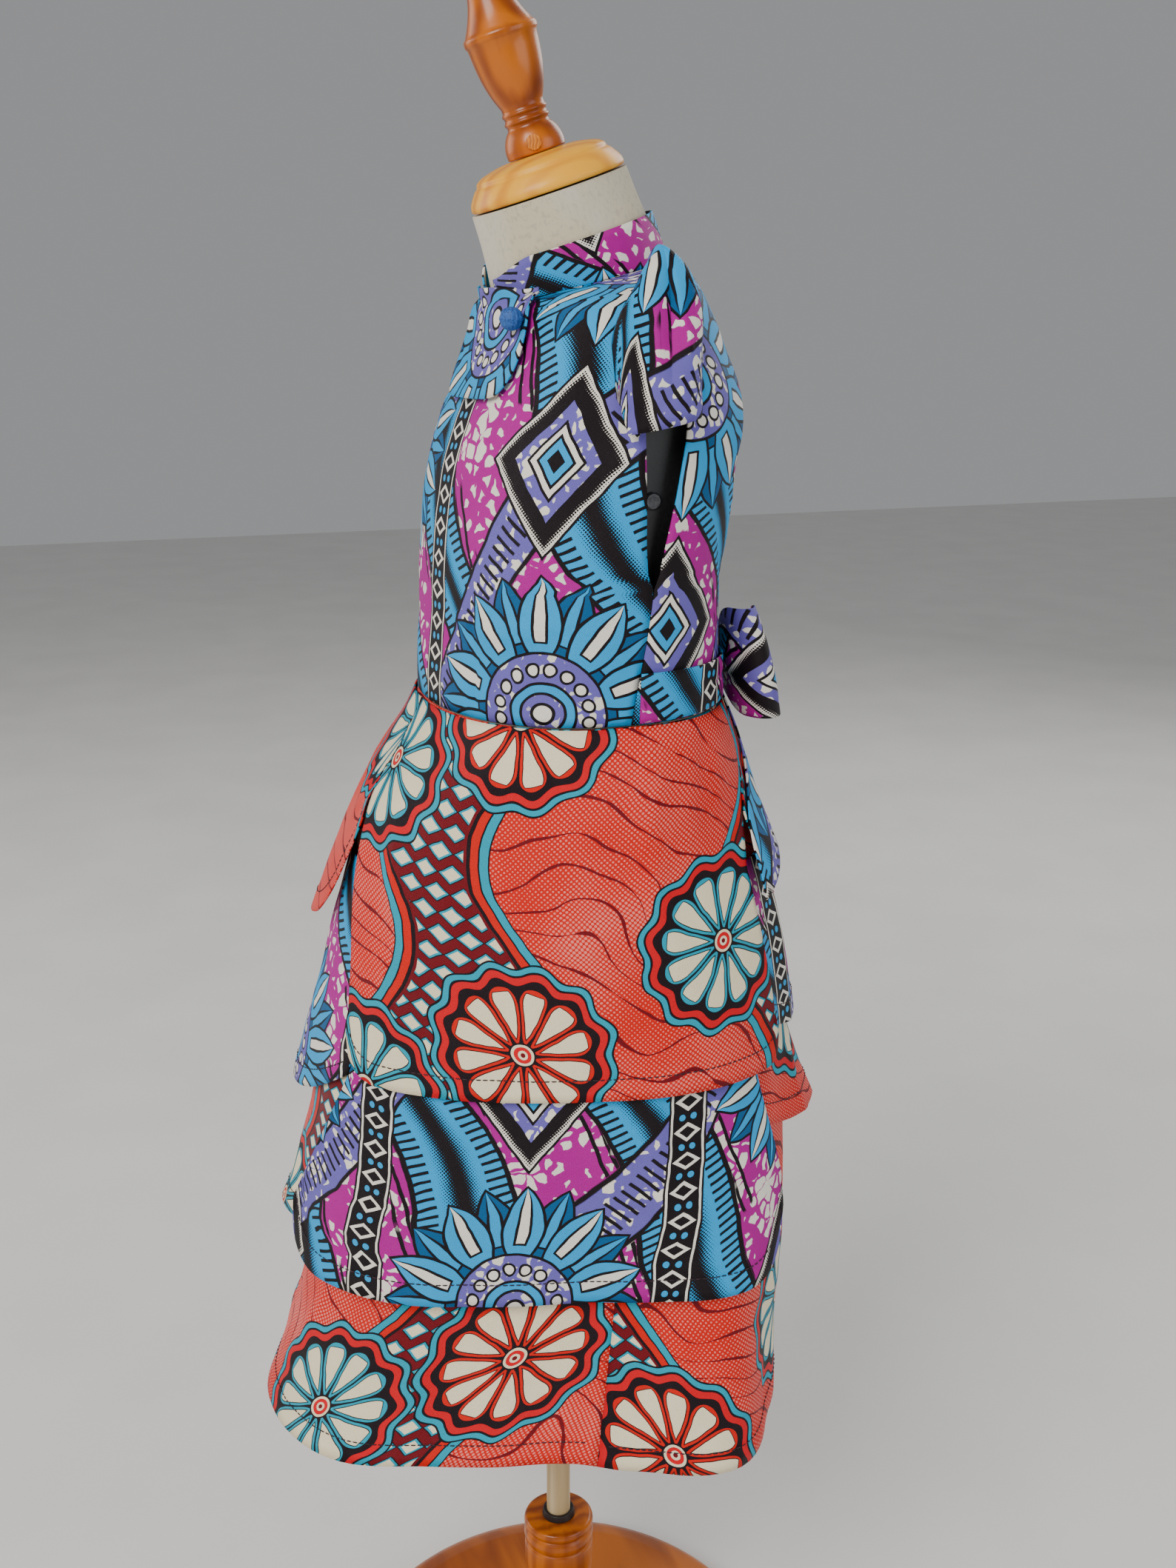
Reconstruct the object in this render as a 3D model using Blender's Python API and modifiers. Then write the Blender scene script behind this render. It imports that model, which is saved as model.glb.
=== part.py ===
# A child's ankara wax print dress, size about 3T, on a limbless dress form with a turned stand.
# Metres, +Z up. The front faces -Y and the wearer's left is +X.
# The origin is on the floor, under the pole's axis.
from bisect import bisect_right
from math import atan2, copysign, cos, pi, radians, sin, sqrt

import bmesh
import bpy
from mathutils import Matrix, Vector

# Cloth and fits
WALL = 0.0012            # cloth with its turned edges
GAP = 0.0003             # between neighbouring pieces
LAYER = 0.0018           # from one layer of the skirt to the next
WAIST_HEIGHT = 0.647     # the waist seam above the floor
SKIRT_LENGTH = 0.387     # waist seam to the hem of the base skirt
SKIRT_TURN = radians(-20)  # the skirt hangs turned on the form, its front towards the wearer's right
TURN_DEPTH = 0.06        # the turn comes in over this depth below the waist

# Form and stand
ARM_FLAT = 0.0868        # half width between the flats that carry the arm plates
ARM_CENTRE = (0.0185, 0.752)   # y and height of an arm plate
ARM_PLATE = (0.023, 0.051, 0.0016)  # half width, half height, thickness
NECK_LEAN = radians(19)  # the neck leans forward
NECK_TOP = (-0.001, 0.893)  # y and height of the middle of the neck's top
POLE_RADIUS = 0.0071
POLE_TOP = 0.5997
COLUMN_TOP = 0.132
BASE_RADIUS = 0.135
BASE_HEIGHT = 0.022

# The bodice's inner face, ring by ring up the side and over the shoulder
TORSO = (
    # way up, height, half width, front y, back y, squareness, rise towards the back
    (-0.047, 0.6000, 0.0880, -0.0655, 0.0785, 2.25, 0.00),
    (0.000, 0.6470, 0.0900, -0.0666, 0.0795, 2.25, 0.00),
    (0.053, 0.7000, 0.0955, -0.0640, 0.0765, 2.25, 0.00),
    (0.093, 0.7400, 0.0980, -0.0600, 0.0795, 2.25, 0.00),
    (0.123, 0.7700, 0.0985, -0.0545, 0.0845, 2.25, 0.00),
    (0.148, 0.7950, 0.0975, -0.0460, 0.0838, 2.25, 0.03),
    (0.172, 0.8180, 0.0935, -0.0375, 0.0750, 2.20, 0.08),
    (0.189, 0.8340, 0.0885, -0.0325, 0.0665, 2.20, 0.14),
    (0.199, 0.8420, 0.0820, -0.0315, 0.0620, 2.15, 0.18),
    (0.212, 0.8470, 0.0700, -0.0308, 0.0595, 2.10, 0.22),
    (0.226, 0.8490, 0.0565, -0.0303, 0.0580, 2.05, 0.24),
    (0.238, 0.8495, 0.0440, -0.0300, 0.0570, 2.00, 0.25),
    (0.245, 0.8555, 0.0428, -0.0305, 0.0551, 2.00, 0.28),
    (0.258, 0.8680, 0.0410, -0.0325, 0.0495, 2.00, 0.32),
    (0.271, 0.8800, 0.0395, -0.0355, 0.0435, 2.00, 0.34),
    (0.285, 0.8930, 0.0387, -0.0397, 0.0377, 2.00, 0.344),
)
# The bodice's rings, with the y of its side seams, armhole edges and shoulder seams
BODICE = (
    # way up, y of the front's edge, y of the back's edge
    (0.0000, 0.0077, 0.0077),
    (0.0200, 0.0105, 0.0105),
    (0.0400, 0.0135, 0.0135),
    (0.0560, 0.0152, 0.0152),
    (0.0650, 0.0160, 0.0160),
    (0.0720, 0.0130, 0.0185),
    (0.0860, 0.0118, 0.0215),
    (0.1080, 0.0115, 0.0262),
    (0.1320, 0.0110, 0.0305),
    (0.1550, 0.0105, 0.0325),
    (0.1750, 0.0110, 0.0325),
    (0.1890, 0.0130, 0.0300),
    (0.1980, 0.0165, 0.0255),
    (0.2040, 0.0205, 0.0205),
    (0.2150, 0.0180, 0.0180),
    (0.2270, 0.0160, 0.0160),
    (0.2362, 0.0142, 0.0142),
)
ARMHOLE = (0.0650, 0.2040)  # way up of its lowest and highest points
# The base skirt's inner face, ring by ring down from the waist
SKIRT = (
    # drop, half width, reach to the front, reach to the back, squareness
    (0.000, 0.0880, 0.0700, 0.0830, 2.20),
    (0.030, 0.0915, 0.0870, 0.0900, 2.20),
    (0.060, 0.0935, 0.0985, 0.0995, 2.25),
    (0.090, 0.0945, 0.1075, 0.1085, 2.30),
    (0.140, 0.0950, 0.1165, 0.1175, 2.35),
    (0.190, 0.0955, 0.1255, 0.1215, 2.45),
    (0.240, 0.0985, 0.1310, 0.1265, 2.60),
    (0.300, 0.1030, 0.1360, 0.1265, 2.85),
    (0.340, 0.1095, 0.1450, 0.1235, 3.05),
    (0.387, 0.1200, 0.1625, 0.1230, 3.25),
)
# Soft folds that all the skirt's layers share
FOLDS = (
    # angle, half width in degrees, depth at the hem, drop where it starts
    (46, 18, 0.0130, 0.180),
    (12, 20, -0.0035, 0.120),
    (-38, 18, 0.0040, 0.200),
    (-92, 22, -0.0040, 0.240),
    (-140, 20, 0.0080, 0.200),
    (168, 22, -0.0050, 0.160),
    (128, 18, 0.0090, 0.180),
    (88, 16, -0.0040, 0.140),
)
# Lines where the side petals end, in degrees from the middle of the front or back
FRONT_LINE_1 = ((0.0, 15), (0.057, 26), (0.127, 31), (0.187, 34))
BACK_LINE_1 = ((0.0, 15), (0.080, 30), (0.142, 26), (0.187, 23))
FRONT_LINE_2 = ((0.080, 43), (0.120, 41), (0.187, 34), (0.227, 27.5), (0.272, 20.5), (0.297, 21))
BACK_LINE_2 = ((0.080, 40), (0.140, 35), (0.200, 30), (0.250, 26), (0.297, 28))
WIDE_LINE_3 = ((0.150, 36), (0.300, 38))  # the third tier's petals, under the others' sides

COLOURS = {
    # colour, roughness
    "print_a": ((0.10, 0.35, 0.60, 1), 0.75),
    "print_b": ((0.75, 0.12, 0.07, 1), 0.75),
    "button": ((0.03, 0.13, 0.40, 1), 0.60),
    "neck_cloth": ((0.52, 0.46, 0.36, 1), 0.85),
    "plate": ((0.01, 0.01, 0.01, 1), 0.45),
    "pine": ((0.65, 0.36, 0.09, 1), 0.40),
    "varnished_wood": ((0.50, 0.18, 0.03, 1), 0.30),
    "pale_wood": ((0.55, 0.42, 0.25, 1), 0.45),
    "ferrule": ((0.03, 0.02, 0.02, 1), 0.40),
}


def row_at(table, where):
    """A smooth row between the rows of a table whose first column only grows."""
    knots = [row[0] for row in table]
    where = min(max(where, knots[0]), knots[-1])
    i = min(max(bisect_right(knots, where) - 1, 0), len(table) - 2)
    before, after = max(i - 1, 0), min(i + 2, len(table) - 1)
    span = knots[i + 1] - knots[i]
    t = (where - knots[i]) / span
    found = []
    for column in range(1, len(table[0])):
        low, high = table[i][column], table[i + 1][column]
        start = (high - table[before][column]) / (knots[i + 1] - knots[before]) * span
        end = (table[after][column] - low) / (knots[after] - knots[i]) * span
        curve = (2 * t**3 - 3 * t**2 + 1) * low + (t**3 - 2 * t**2 + t) * start
        found.append(curve + (3 * t**2 - 2 * t**3) * high + (t**3 - t**2) * end)
    return found


def straight_at(table, where):
    """A row on the straight lines between a table's rows."""
    where = min(max(where, table[0][0]), table[-1][0])
    for low, high in zip(table, table[1:]):
        if where <= high[0]:
            t = (where - low[0]) / (high[0] - low[0])
            return [a + (b - a) * t for a, b in zip(low[1:], high[1:])]
    return list(table[-1][1:])


def mix(a, b, t):
    return a + (b - a) * t


def smooth(t):
    t = min(max(t, 0.0), 1.0)
    return t * t * (3 - 2 * t)


def reach(angle, half_width, front, back, power):
    """How far a ring reaches from its middle, which lies between its front and its back."""
    deep = (front + back) / 2
    return (abs(cos(angle) / half_width) ** power + abs(sin(angle) / deep) ** power) ** (-1 / power)


def moved_out(surface, a, b, out, step=1e-4):
    """The point of a surface at a and b, moved out square to it."""
    point = surface(a, b)
    if out == 0:
        return point
    along = surface(a + step, b) - surface(a - step, b)
    up = surface(a, b + step) - surface(a, b - step)
    return point + along.cross(up).normalized() * out


# The torso

def torso(angle, way):
    height, half_width, front, back, power, rise = row_at(TORSO, way)
    middle = (front + back) / 2
    r = reach(angle, half_width, -front, back, power)
    x, y = r * cos(angle), r * sin(angle)
    return Vector((x, middle + y, height + rise * y))


def edge_angle(way, y, side=0.0):
    """The angle on the wearer's left at which the torso's ring passes y, moved along it by side."""
    _, half_width, front, back, power, _ = row_at(TORSO, way)
    middle, deep = (front + back) / 2, (back - front) / 2
    x = half_width * (1 - abs((y - middle) / deep) ** power) ** (1 / power)
    return atan2(y - middle + side, x)


# The skirt, whose angles are degrees round its own middle: 0 left side, -90 front, 90 back

def fold(angle, drop):
    depth = 0.0
    for where, half_width, height, start in FOLDS:
        off = (angle - where + 180) % 360 - 180
        if abs(off) < half_width:
            grown = smooth((drop - start) / (SKIRT_LENGTH - start))
            depth += height * cos(off / half_width * pi / 2) ** 2 * grown
    return depth


def skirt_ring(angle, drop):
    half_width, front, back, power = row_at(SKIRT, drop)
    turned = reach(radians(angle), half_width, front, back, power)
    middle = (back - front) / 2
    centre = Vector((-sin(SKIRT_TURN), cos(SKIRT_TURN))) * middle
    way = radians(angle) + SKIRT_TURN
    # Near the waist the ring is the bodice's own
    _, half, low, high, round_, _ = row_at(TORSO, 0.0)
    plain = reach(way, half, -low, high, round_)
    share = smooth(drop / TURN_DEPTH)
    own = turned + (fold(angle, drop) if drop > 0 else 0.0)
    at_waist = plain + (own - reach(radians(angle), *row_at(SKIRT, 0.0)))
    r = mix(at_waist, own, share)
    centre = Vector((0, (low + high) / 2)).lerp(centre, share)
    return centre + Vector((cos(way), sin(way))) * r


def skirt(angle, drop, out=0.0):
    """A point of the skirt, moved out level and square to its ring."""
    ring = skirt_ring(angle, max(drop, 0.0))
    along = skirt_ring(angle + 1, max(drop, 0.0)) - skirt_ring(angle - 1, max(drop, 0.0))
    away = Vector((along.y, -along.x)).normalized()
    level = ring + away * out
    return Vector((level.x, level.y, WAIST_HEIGHT - drop))


# Making objects

def material(name):
    made = bpy.data.materials.get(name)
    if made:
        return made
    made = bpy.data.materials.new(name)
    made.use_nodes = True
    colour, roughness = COLOURS[name]
    shader = made.node_tree.nodes["Principled BSDF"]
    shader.inputs["Base Color"].default_value = colour
    shader.inputs["Roughness"].default_value = roughness
    shader.inputs["Metallic"].default_value = 0.0
    made.diffuse_color = colour
    return made


def finished(name, bm, colour, folder):
    """An object from a bmesh, shaded smooth, in the dress's collection."""
    mesh = bpy.data.meshes.new(name)
    bm.to_mesh(mesh)
    bm.free()
    obj = bpy.data.objects.new(name, mesh)
    folder.objects.link(obj)
    own = material(colour).copy()
    own.name = name
    mesh.materials.append(own)
    mesh.shade_smooth()
    mesh.set_sharp_from_angle(angle=radians(50))
    return obj


def cloth(name, colour, folder, surface, across, up):
    """A panel: a grid laid on surface(u, v), u to the wearer's left and v up, thickened outwards."""
    bm = bmesh.new()
    bmesh.ops.create_grid(bm, x_segments=across, y_segments=up, size=0.5)
    for vert in bm.verts:
        vert.co = surface(vert.co.x + 0.5, vert.co.y + 0.5)
    obj = finished(name, bm, colour, folder)
    thick = obj.modifiers.new("cloth", "SOLIDIFY")
    thick.thickness = WALL
    thick.offset = 1
    return obj


def loft(name, colour, folder, rings):
    """A closed solid through rings of points that run anticlockwise, lowest ring first."""
    bm = bmesh.new()
    made = [[bm.verts.new(point) for point in ring] for ring in rings]
    for low, high in zip(made, made[1:]):
        for i in range(len(low)):
            j = (i + 1) % len(low)
            bm.faces.new((low[i], low[j], high[j], high[i]))
    bm.faces.new(list(reversed(made[0])))
    bm.faces.new(made[-1])
    return finished(name, bm, colour, folder)


def turned(name, colour, folder, profile, steps, ring=False):
    """A turned piece: its outer side as (radius, height), from the top down, on the Z axis."""
    bm = bmesh.new()
    points = [bm.verts.new((radius, 0, height)) for radius, height in profile]
    for a, b in zip(points, points[1:] + points[:1] if ring else points[1:]):
        bm.edges.new((a, b))
    obj = finished(name, bm, colour, folder)
    screw = obj.modifiers.new("turning", "SCREW")
    screw.steps = steps
    screw.render_steps = steps
    screw.use_merge_vertices = True
    screw.merge_threshold = 0.0001
    return obj


# The dress form and its stand

def form_torso(folder):
    around = 28
    low = (TORSO[0][0], 0.0, 0.056, 0.082, 0.108)
    neck = (0.2385, 0.2460, 0.2580, 0.2710, 0.2850)
    rings = []
    for way in low + tuple(row[0] for row in BODICE[8:-1]) + neck:
        inside = 0.0009 if way < neck[0] else 0.0015     # clear of the cloth
        ring = [moved_out(torso, 2 * pi * i / around, way, -inside) for i in range(around)]
        for point in ring:
            if abs(point.x) > ARM_FLAT:
                point.x = copysign(ARM_FLAT, point.x)
        rings.append(ring)
    loft("form_torso", "neck_cloth", folder, rings)


def arm_plates(folder):
    y, height = ARM_CENTRE
    half_width, half_height, thick = ARM_PLATE
    for name, side in (("left", 1), ("right", -1)):
        for piece, wide, tall, deep, out in (
            ("arm_plate_", half_width, half_height, thick, ARM_FLAT + GAP),
            ("arm_screw_", 0.0042, 0.0042, 0.0016, ARM_FLAT + 2 * GAP + thick),
        ):
            bm = bmesh.new()
            bmesh.ops.create_cone(bm, cap_ends=True, segments=20, radius1=1, radius2=1, depth=1)
            bmesh.ops.rotate(bm, matrix=Matrix.Rotation(pi / 2, 3, "Y"), verts=bm.verts)
            bmesh.ops.scale(bm, vec=(deep, wide, tall), verts=bm.verts)
            bmesh.ops.translate(bm, vec=(side * (out + deep / 2), y, height), verts=bm.verts)
            finished(piece + name, bm, "plate", folder)


def neck_turnings(folder):
    cap = turned("neck_cap", "pine", folder, (
        (0.0, 0.0170), (0.0150, 0.0170), (0.0210, 0.0164), (0.0290, 0.0145), (0.0325, 0.0125),
        (0.0330, 0.0105), (0.0345, 0.0095), (0.0380, 0.0045), (0.0388, 0.0012), (0.0380, 0.0), (0.0, 0.0),
    ), 20)
    ball_middle, ball = 0.0200, 0.0145
    profile = [(0.0, 0.1040), (0.0045, 0.1027), (0.0080, 0.0985), (0.0095, 0.0930), (0.0108, 0.0870)]
    profile += [(0.0135, 0.0800), (0.0166, 0.0742), (0.0180, 0.0728), (0.0180, 0.0705), (0.0170, 0.0690)]
    profile += [(0.0166, 0.0640), (0.0154, 0.0550), (0.0131, 0.0465), (0.0104, 0.0400)]
    profile += [(0.0110, 0.0380), (0.0110, 0.0358), (0.0098, 0.0350), (0.0110, 0.0342), (0.0110, 0.0320)]
    for degrees in (50, 30, 10):
        angle = radians(degrees)
        profile.append((ball * cos(angle), ball_middle + ball * sin(angle)))
    profile += [(0.0142, 0.0173), (0.0, 0.0173)]
    finial = turned("neck_finial", "varnished_wood", folder, profile, 16)
    y, height = NECK_TOP
    for piece in (cap, finial):
        piece.rotation_euler = (NECK_LEAN, 0, 0)
        up = Vector((0, -sin(NECK_LEAN), cos(NECK_LEAN)))
        piece.location = Vector((0, y, height)) + up * 0.0008


def stand(folder):
    turned("stand_pole", "pale_wood", folder, (
        (0.0, POLE_TOP), (POLE_RADIUS, POLE_TOP), (POLE_RADIUS, COLUMN_TOP + GAP), (0.0, COLUMN_TOP + GAP),
    ), 12)
    inner = POLE_RADIUS + GAP
    turned("stand_ferrule", "ferrule", folder, (
        (inner, COLUMN_TOP + 0.0043), (0.0092, COLUMN_TOP + 0.0043), (0.0100, COLUMN_TOP + GAP),
        (inner, COLUMN_TOP + GAP),
    ), 16, ring=True)
    foot = BASE_HEIGHT + GAP
    turned("stand_column", "varnished_wood", folder, (
        (0.0, COLUMN_TOP), (0.0185, COLUMN_TOP), (0.0208, COLUMN_TOP - 0.002), (0.0208, COLUMN_TOP - 0.0055),
        (0.0196, COLUMN_TOP - 0.0065), (0.0208, COLUMN_TOP - 0.0080), (0.0208, COLUMN_TOP - 0.0150),
        (0.0196, COLUMN_TOP - 0.0160), (0.0208, COLUMN_TOP - 0.0175), (0.0200, COLUMN_TOP - 0.0300),
        (0.0185, 0.0700), (0.0200, 0.0450), (0.0290, 0.0300), (0.0300, foot), (0.0, foot),
    ), 16)
    turned("stand_base", "varnished_wood", folder, (
        (0.0, BASE_HEIGHT), (0.1150, BASE_HEIGHT), (0.1300, 0.0170), (BASE_RADIUS, 0.0110),
        (BASE_RADIUS, 0.0030), (0.1320, 0.0), (0.0, 0.0),
    ), 28)


# The bodice

def bodice_panel(name, folder, front):
    across, rings = 18, len(BODICE) - 1

    def surface(u, v):
        ring = v * rings
        way, front_y, back_y = BODICE[min(round(ring), rings)]
        if front:
            left = edge_angle(way, front_y, -GAP / 2)
            start, end = -pi - left, left
        else:
            left = edge_angle(way, back_y, GAP / 2)
            start, end = left, pi - left
        return torso(mix(start, end, u), way)

    cloth(name, "print_a", folder, surface, across, rings)


def collar(folder):
    low, high = radians(-79), radians(265)
    foot, top, stands_off = 0.2410, 0.2612, 0.0007

    def surface(u, v):
        ends = smooth((0.11 - u) / 0.11) + 1.5 * smooth((u - 0.90) / 0.10)     # it is lower towards its ends
        return moved_out(torso, mix(low, high, u), mix(foot, top - 0.0070 * ends, v), stands_off * v)

    cloth("collar", "print_a", folder, surface, 20, 2)


def front_flap(folder):
    start, end = radians(-118), radians(-39)
    low, high, round_up = 0.150, 0.2325, 0.050
    bend, collar_top, out = 0.226, 0.252, WALL + 0.0021
    tip, tip_rise = radians(-84), 0.016    # at the front it laps over the collar's end

    def surface(u, v):
        angle = mix(start, end, u)
        foot = low + round_up * abs(2 * u - 1) ** 7
        head = high + tip_rise * smooth((end - angle) / (end - tip))
        way = mix(foot, head, v)
        if way < bend:
            return moved_out(torso, angle, way, out)
        # It is stretched straight over the hollow where the neck begins
        below, above = moved_out(torso, angle, bend, out), moved_out(torso, angle, collar_top, out)
        return below.lerp(above, (way - bend) / (collar_top - bend))

    cloth("front_flap", "print_a", folder, surface, 10, 8)


def ball_button(folder):
    radius = 0.0056
    bm = bmesh.new()
    bmesh.ops.create_uvsphere(bm, u_segments=10, v_segments=7, radius=radius)
    where = moved_out(torso, radians(-44), 0.193, 2 * WALL + 0.0014 + radius)
    bmesh.ops.translate(bm, vec=where, verts=bm.verts)
    finished("ball_button", bm, "button", folder)


def sleeve(name, folder, side):
    """A short cap: its seam runs up the front, over the shoulder and down the back."""
    low_end, front_y, back_y = 0.152, -0.0005, 0.0370
    hem_height, outer, puff, stands_up = 0.785, 0.1030, 0.0080, 0.047

    def surface(u, v):
        t = u if side > 0 else 1 - u
        arm = abs(2 * t - 1)
        way = mix(ARMHOLE[1] + 0.004, low_end, arm**1.4)
        y = mix(BODICE[13][1], front_y if t < 0.5 else back_y, smooth(arm * 1.5))
        seam = moved_out(torso, edge_angle(way, y), way, WALL + 2 * GAP)
        bulge = sin(pi * t)
        hem_z = mix(hem_height - 0.002, hem_height + 0.005, t)
        hem = Vector((outer + puff * bulge, mix(0.0015, 0.0350, t), hem_z))
        high = seam + Vector((0.002 + 0.014 * bulge, 0.006 * bulge, stands_up * bulge**0.8))
        w = 1 - v
        point = seam * (1 - w) ** 2 + high * 2 * w * (1 - w) + hem * w * w
        return Vector((side * point.x, point.y, point.z))

    cloth(name, "print_a", folder, surface, 12, 6)


# The sash and its bow

def sash(name, folder, side):
    height, narrow = 0.0245, 0.0190

    def surface(u, v):
        t = u if side > 0 else 1 - u
        angle = mix(radians(3), pi / 2, t)
        angle -= GAP / 2 / 0.08 if t == 1 else 0
        if side < 0:
            angle = pi - angle
        tall = mix(height, narrow, smooth(t))
        way = 0.0135 + (v - 0.5) * tall
        return moved_out(torso, angle, way, WALL + 0.0009)

    cloth(name, "print_a", folder, surface, 8, 2)


def bow(folder):
    knot_y, knot_height = 0.0911, 0.6605
    bm = bmesh.new()
    bmesh.ops.create_uvsphere(bm, u_segments=10, v_segments=7, radius=1)
    bmesh.ops.scale(bm, vec=(0.0105, 0.0085, 0.0125), verts=bm.verts)
    bmesh.ops.translate(bm, vec=(0, knot_y, knot_height), verts=bm.verts)
    finished("bow_knot", bm, "print_a", folder)
    for name, side in (("left", 1), ("right", -1)):
        bow_loop("bow_loop_" + name, folder, side, knot_y, knot_height)
        bow_tail("bow_tail_" + name, folder, side)


def bow_loop(name, folder, side, knot_y, knot_height):
    """A band folded back on itself, its rounded end away from the knot."""
    middle, half_long, half_deep = 0.0364, 0.0275, 0.0105
    narrow, wide = 0.0100, 0.0285

    def surface(u, v):
        turn = radians(mix(-158, 158, u if side > 0 else 1 - u))
        across = 2 * v - 1
        rounded = half_long * (1 - 0.22 * across**2 * max(0.0, cos(turn)))
        x = middle + rounded * cos(turn)
        share = smooth((x - 0.010) / 0.040)
        deep = half_deep * (1 - 0.3 * share * max(0.0, across))
        y = knot_y + 0.0052 + deep * sin(turn) - share * (0.0055 + 0.0070 * across)
        z = knot_height + 0.004 * share + across * mix(narrow, wide, share)
        return Vector((side * x, y, z))

    cloth(name, "print_a", folder, surface, 12, 3)


def bow_tail(name, folder, side):
    """A tail that hangs over the back of the skirt from under the knot, with a slanted end."""
    length, slant, spread = 0.084, 0.014, 0.0045

    def surface(u, v):
        t = 1 - v
        far = u if side < 0 else 1 - u
        drop = mix(0.0005, length + slant * far, t)
        inner, outer = mix(1.5, 3.0, t), mix(9.0, 27.0, smooth(1.3 * t))
        angle = 90 - side * mix(inner, outer, far)
        return skirt(angle, drop, lift(3, 0.0, drop) + WALL + 2 * GAP + spread * t * t)

    cloth(name, "print_a", folder, surface, 5, 6)


# The skirt

def skirt_base(folder):
    seam, top = 20, 0.0012
    corner, sag, half_width = 46, 0.006, 30    # the hem hangs lower at the back left corner

    def panel(start, end):
        def surface(u, v):
            angle = mix(start, end, u)
            off = abs((angle - corner + 180) % 360 - 180)
            length = SKIRT_LENGTH + sag * max(0.0, cos(radians(min(off / half_width, 1) * 90)))
            return skirt(angle, mix(top, length, (1 - v) ** 1.25))
        return surface

    apart = GAP / 2 / 0.11 * 180 / pi
    cloth("skirt_base_front", "print_b", folder, panel(-180 - seam + apart, seam - apart), 24, 12)
    cloth("skirt_base_back", "print_b", folder, panel(seam + apart, 180 - seam - apart), 18, 12)


def lift(layer, top, drop):
    """How far a layer of petals lies out: down on the layer below at its top, then at its own place."""
    return mix(0.0022, layer * LAYER, smooth((drop - top) / 0.05))


def middle_petal(name, colour, folder, facing, layer, top, hem, rise, line, inset, flare, window):
    """A petal in the middle of the front or back, whose hem curves up to its sides."""
    def surface(u, v):
        share = 2 * u - 1
        drop = mix(top, hem - rise * abs(share) ** 2.2, 1 - v)
        half = straight_at(line, drop)[0] - inset
        bulge = max(0.0, 1 - (share / window) ** 2) ** 1.5
        down = (1 - v) * (1 - 0.35 * abs(share))
        out = lift(layer, top, drop) + flare * bulge * down**1.6 + 0.0012 * (1 - v) ** 2
        return skirt(facing + share * half, drop, out)

    cloth(name, colour, folder, surface, 12, 6)


def side_petal(name, colour, folder, side, layer, top, hem, front_line, back_line, corners, flares):
    """A petal over one side of the skirt, with rounded lower corners."""
    seam = 0.15     # degrees that keep it clear of its neighbours

    def surface(u, v):
        t = u - 0.075 * sin(2 * pi * u)
        t = t if side > 0 else 1 - t
        edge = min(t, 1 - t) * 0.27
        radius = mix(corners[0], corners[1], t)
        corner = radius - sqrt(max(0.0, radius**2 - max(0.0, radius - edge) ** 2))
        drop = mix(top, hem - corner, 1 - v)
        start = -90 + straight_at(front_line, drop)[0] + seam
        end = 90 - straight_at(back_line, drop)[0] - seam
        angle = mix(start, end, t)
        if side < 0:
            angle = 180 - angle
        out = lift(layer, top, drop) + mix(flares[0], flares[1], smooth(t * 1.5)) * (1 - v) ** 2
        return skirt(angle, drop, out)

    cloth(name, colour, folder, surface, 20, 8)


def petals(folder):
    top = 0.0012
    for name, side in (("left", 1), ("right", -1)):
        side_petal("tier1_" + name, "print_b", folder, side, 3, top, 0.187,
                   FRONT_LINE_1, BACK_LINE_1, (0.022, 0.014), (0.0030, 0.0030))
        side_petal("tier2_" + name, "print_a", folder, side, 2, 0.120, 0.297,
                   FRONT_LINE_2, BACK_LINE_2, (0.030, 0.030), (0.0110, 0.0040))
    middle_petal("tier1_front", "print_b", folder, -90, 3, top, 0.122, 0.065, FRONT_LINE_1, 0.15, 0.0110, 1.0)
    middle_petal("tier1_back", "print_b", folder, 90, 3, top, 0.092, 0.036, BACK_LINE_1, 0.15, 0.0010, 1.0)
    middle_petal("tier2_front", "print_a", folder, -90, 2, 0.080, 0.219, 0.030, FRONT_LINE_2, 0.4, 0.0120,
                 0.72)
    middle_petal("tier2_back", "print_a", folder, 90, 2, 0.080, 0.180, 0.022, BACK_LINE_2, 0.4, 0.0050, 0.62)
    middle_petal("tier3_front", "print_b", folder, -90, 1, 0.190, 0.297, 0.030, WIDE_LINE_3, 0.0, 0.0190,
                 0.52)
    middle_petal("tier3_back", "print_b", folder, 90, 1, 0.160, 0.232, 0.020, WIDE_LINE_3, 0.0, 0.0160, 0.60)


def main():
    for obj in list(bpy.data.objects):
        bpy.data.objects.remove(obj)
    folder = bpy.data.collections.new("ankara_dress_on_form")
    bpy.context.scene.collection.children.link(folder)
    form_torso(folder)
    arm_plates(folder)
    neck_turnings(folder)
    stand(folder)
    bodice_panel("bodice_front", folder, True)
    bodice_panel("bodice_back", folder, False)
    collar(folder)
    front_flap(folder)
    ball_button(folder)
    for name, side in (("left", 1), ("right", -1)):
        sleeve("sleeve_" + name, folder, side)
        sash("sash_" + name, folder, side)
    bow(folder)
    skirt_base(folder)
    petals(folder)


main()
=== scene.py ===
from bisect import bisect_right
from math import atan2, copysign, cos, exp, hypot, pi, radians, sin, sqrt

import bmesh
import bpy
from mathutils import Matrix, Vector, noise


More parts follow.
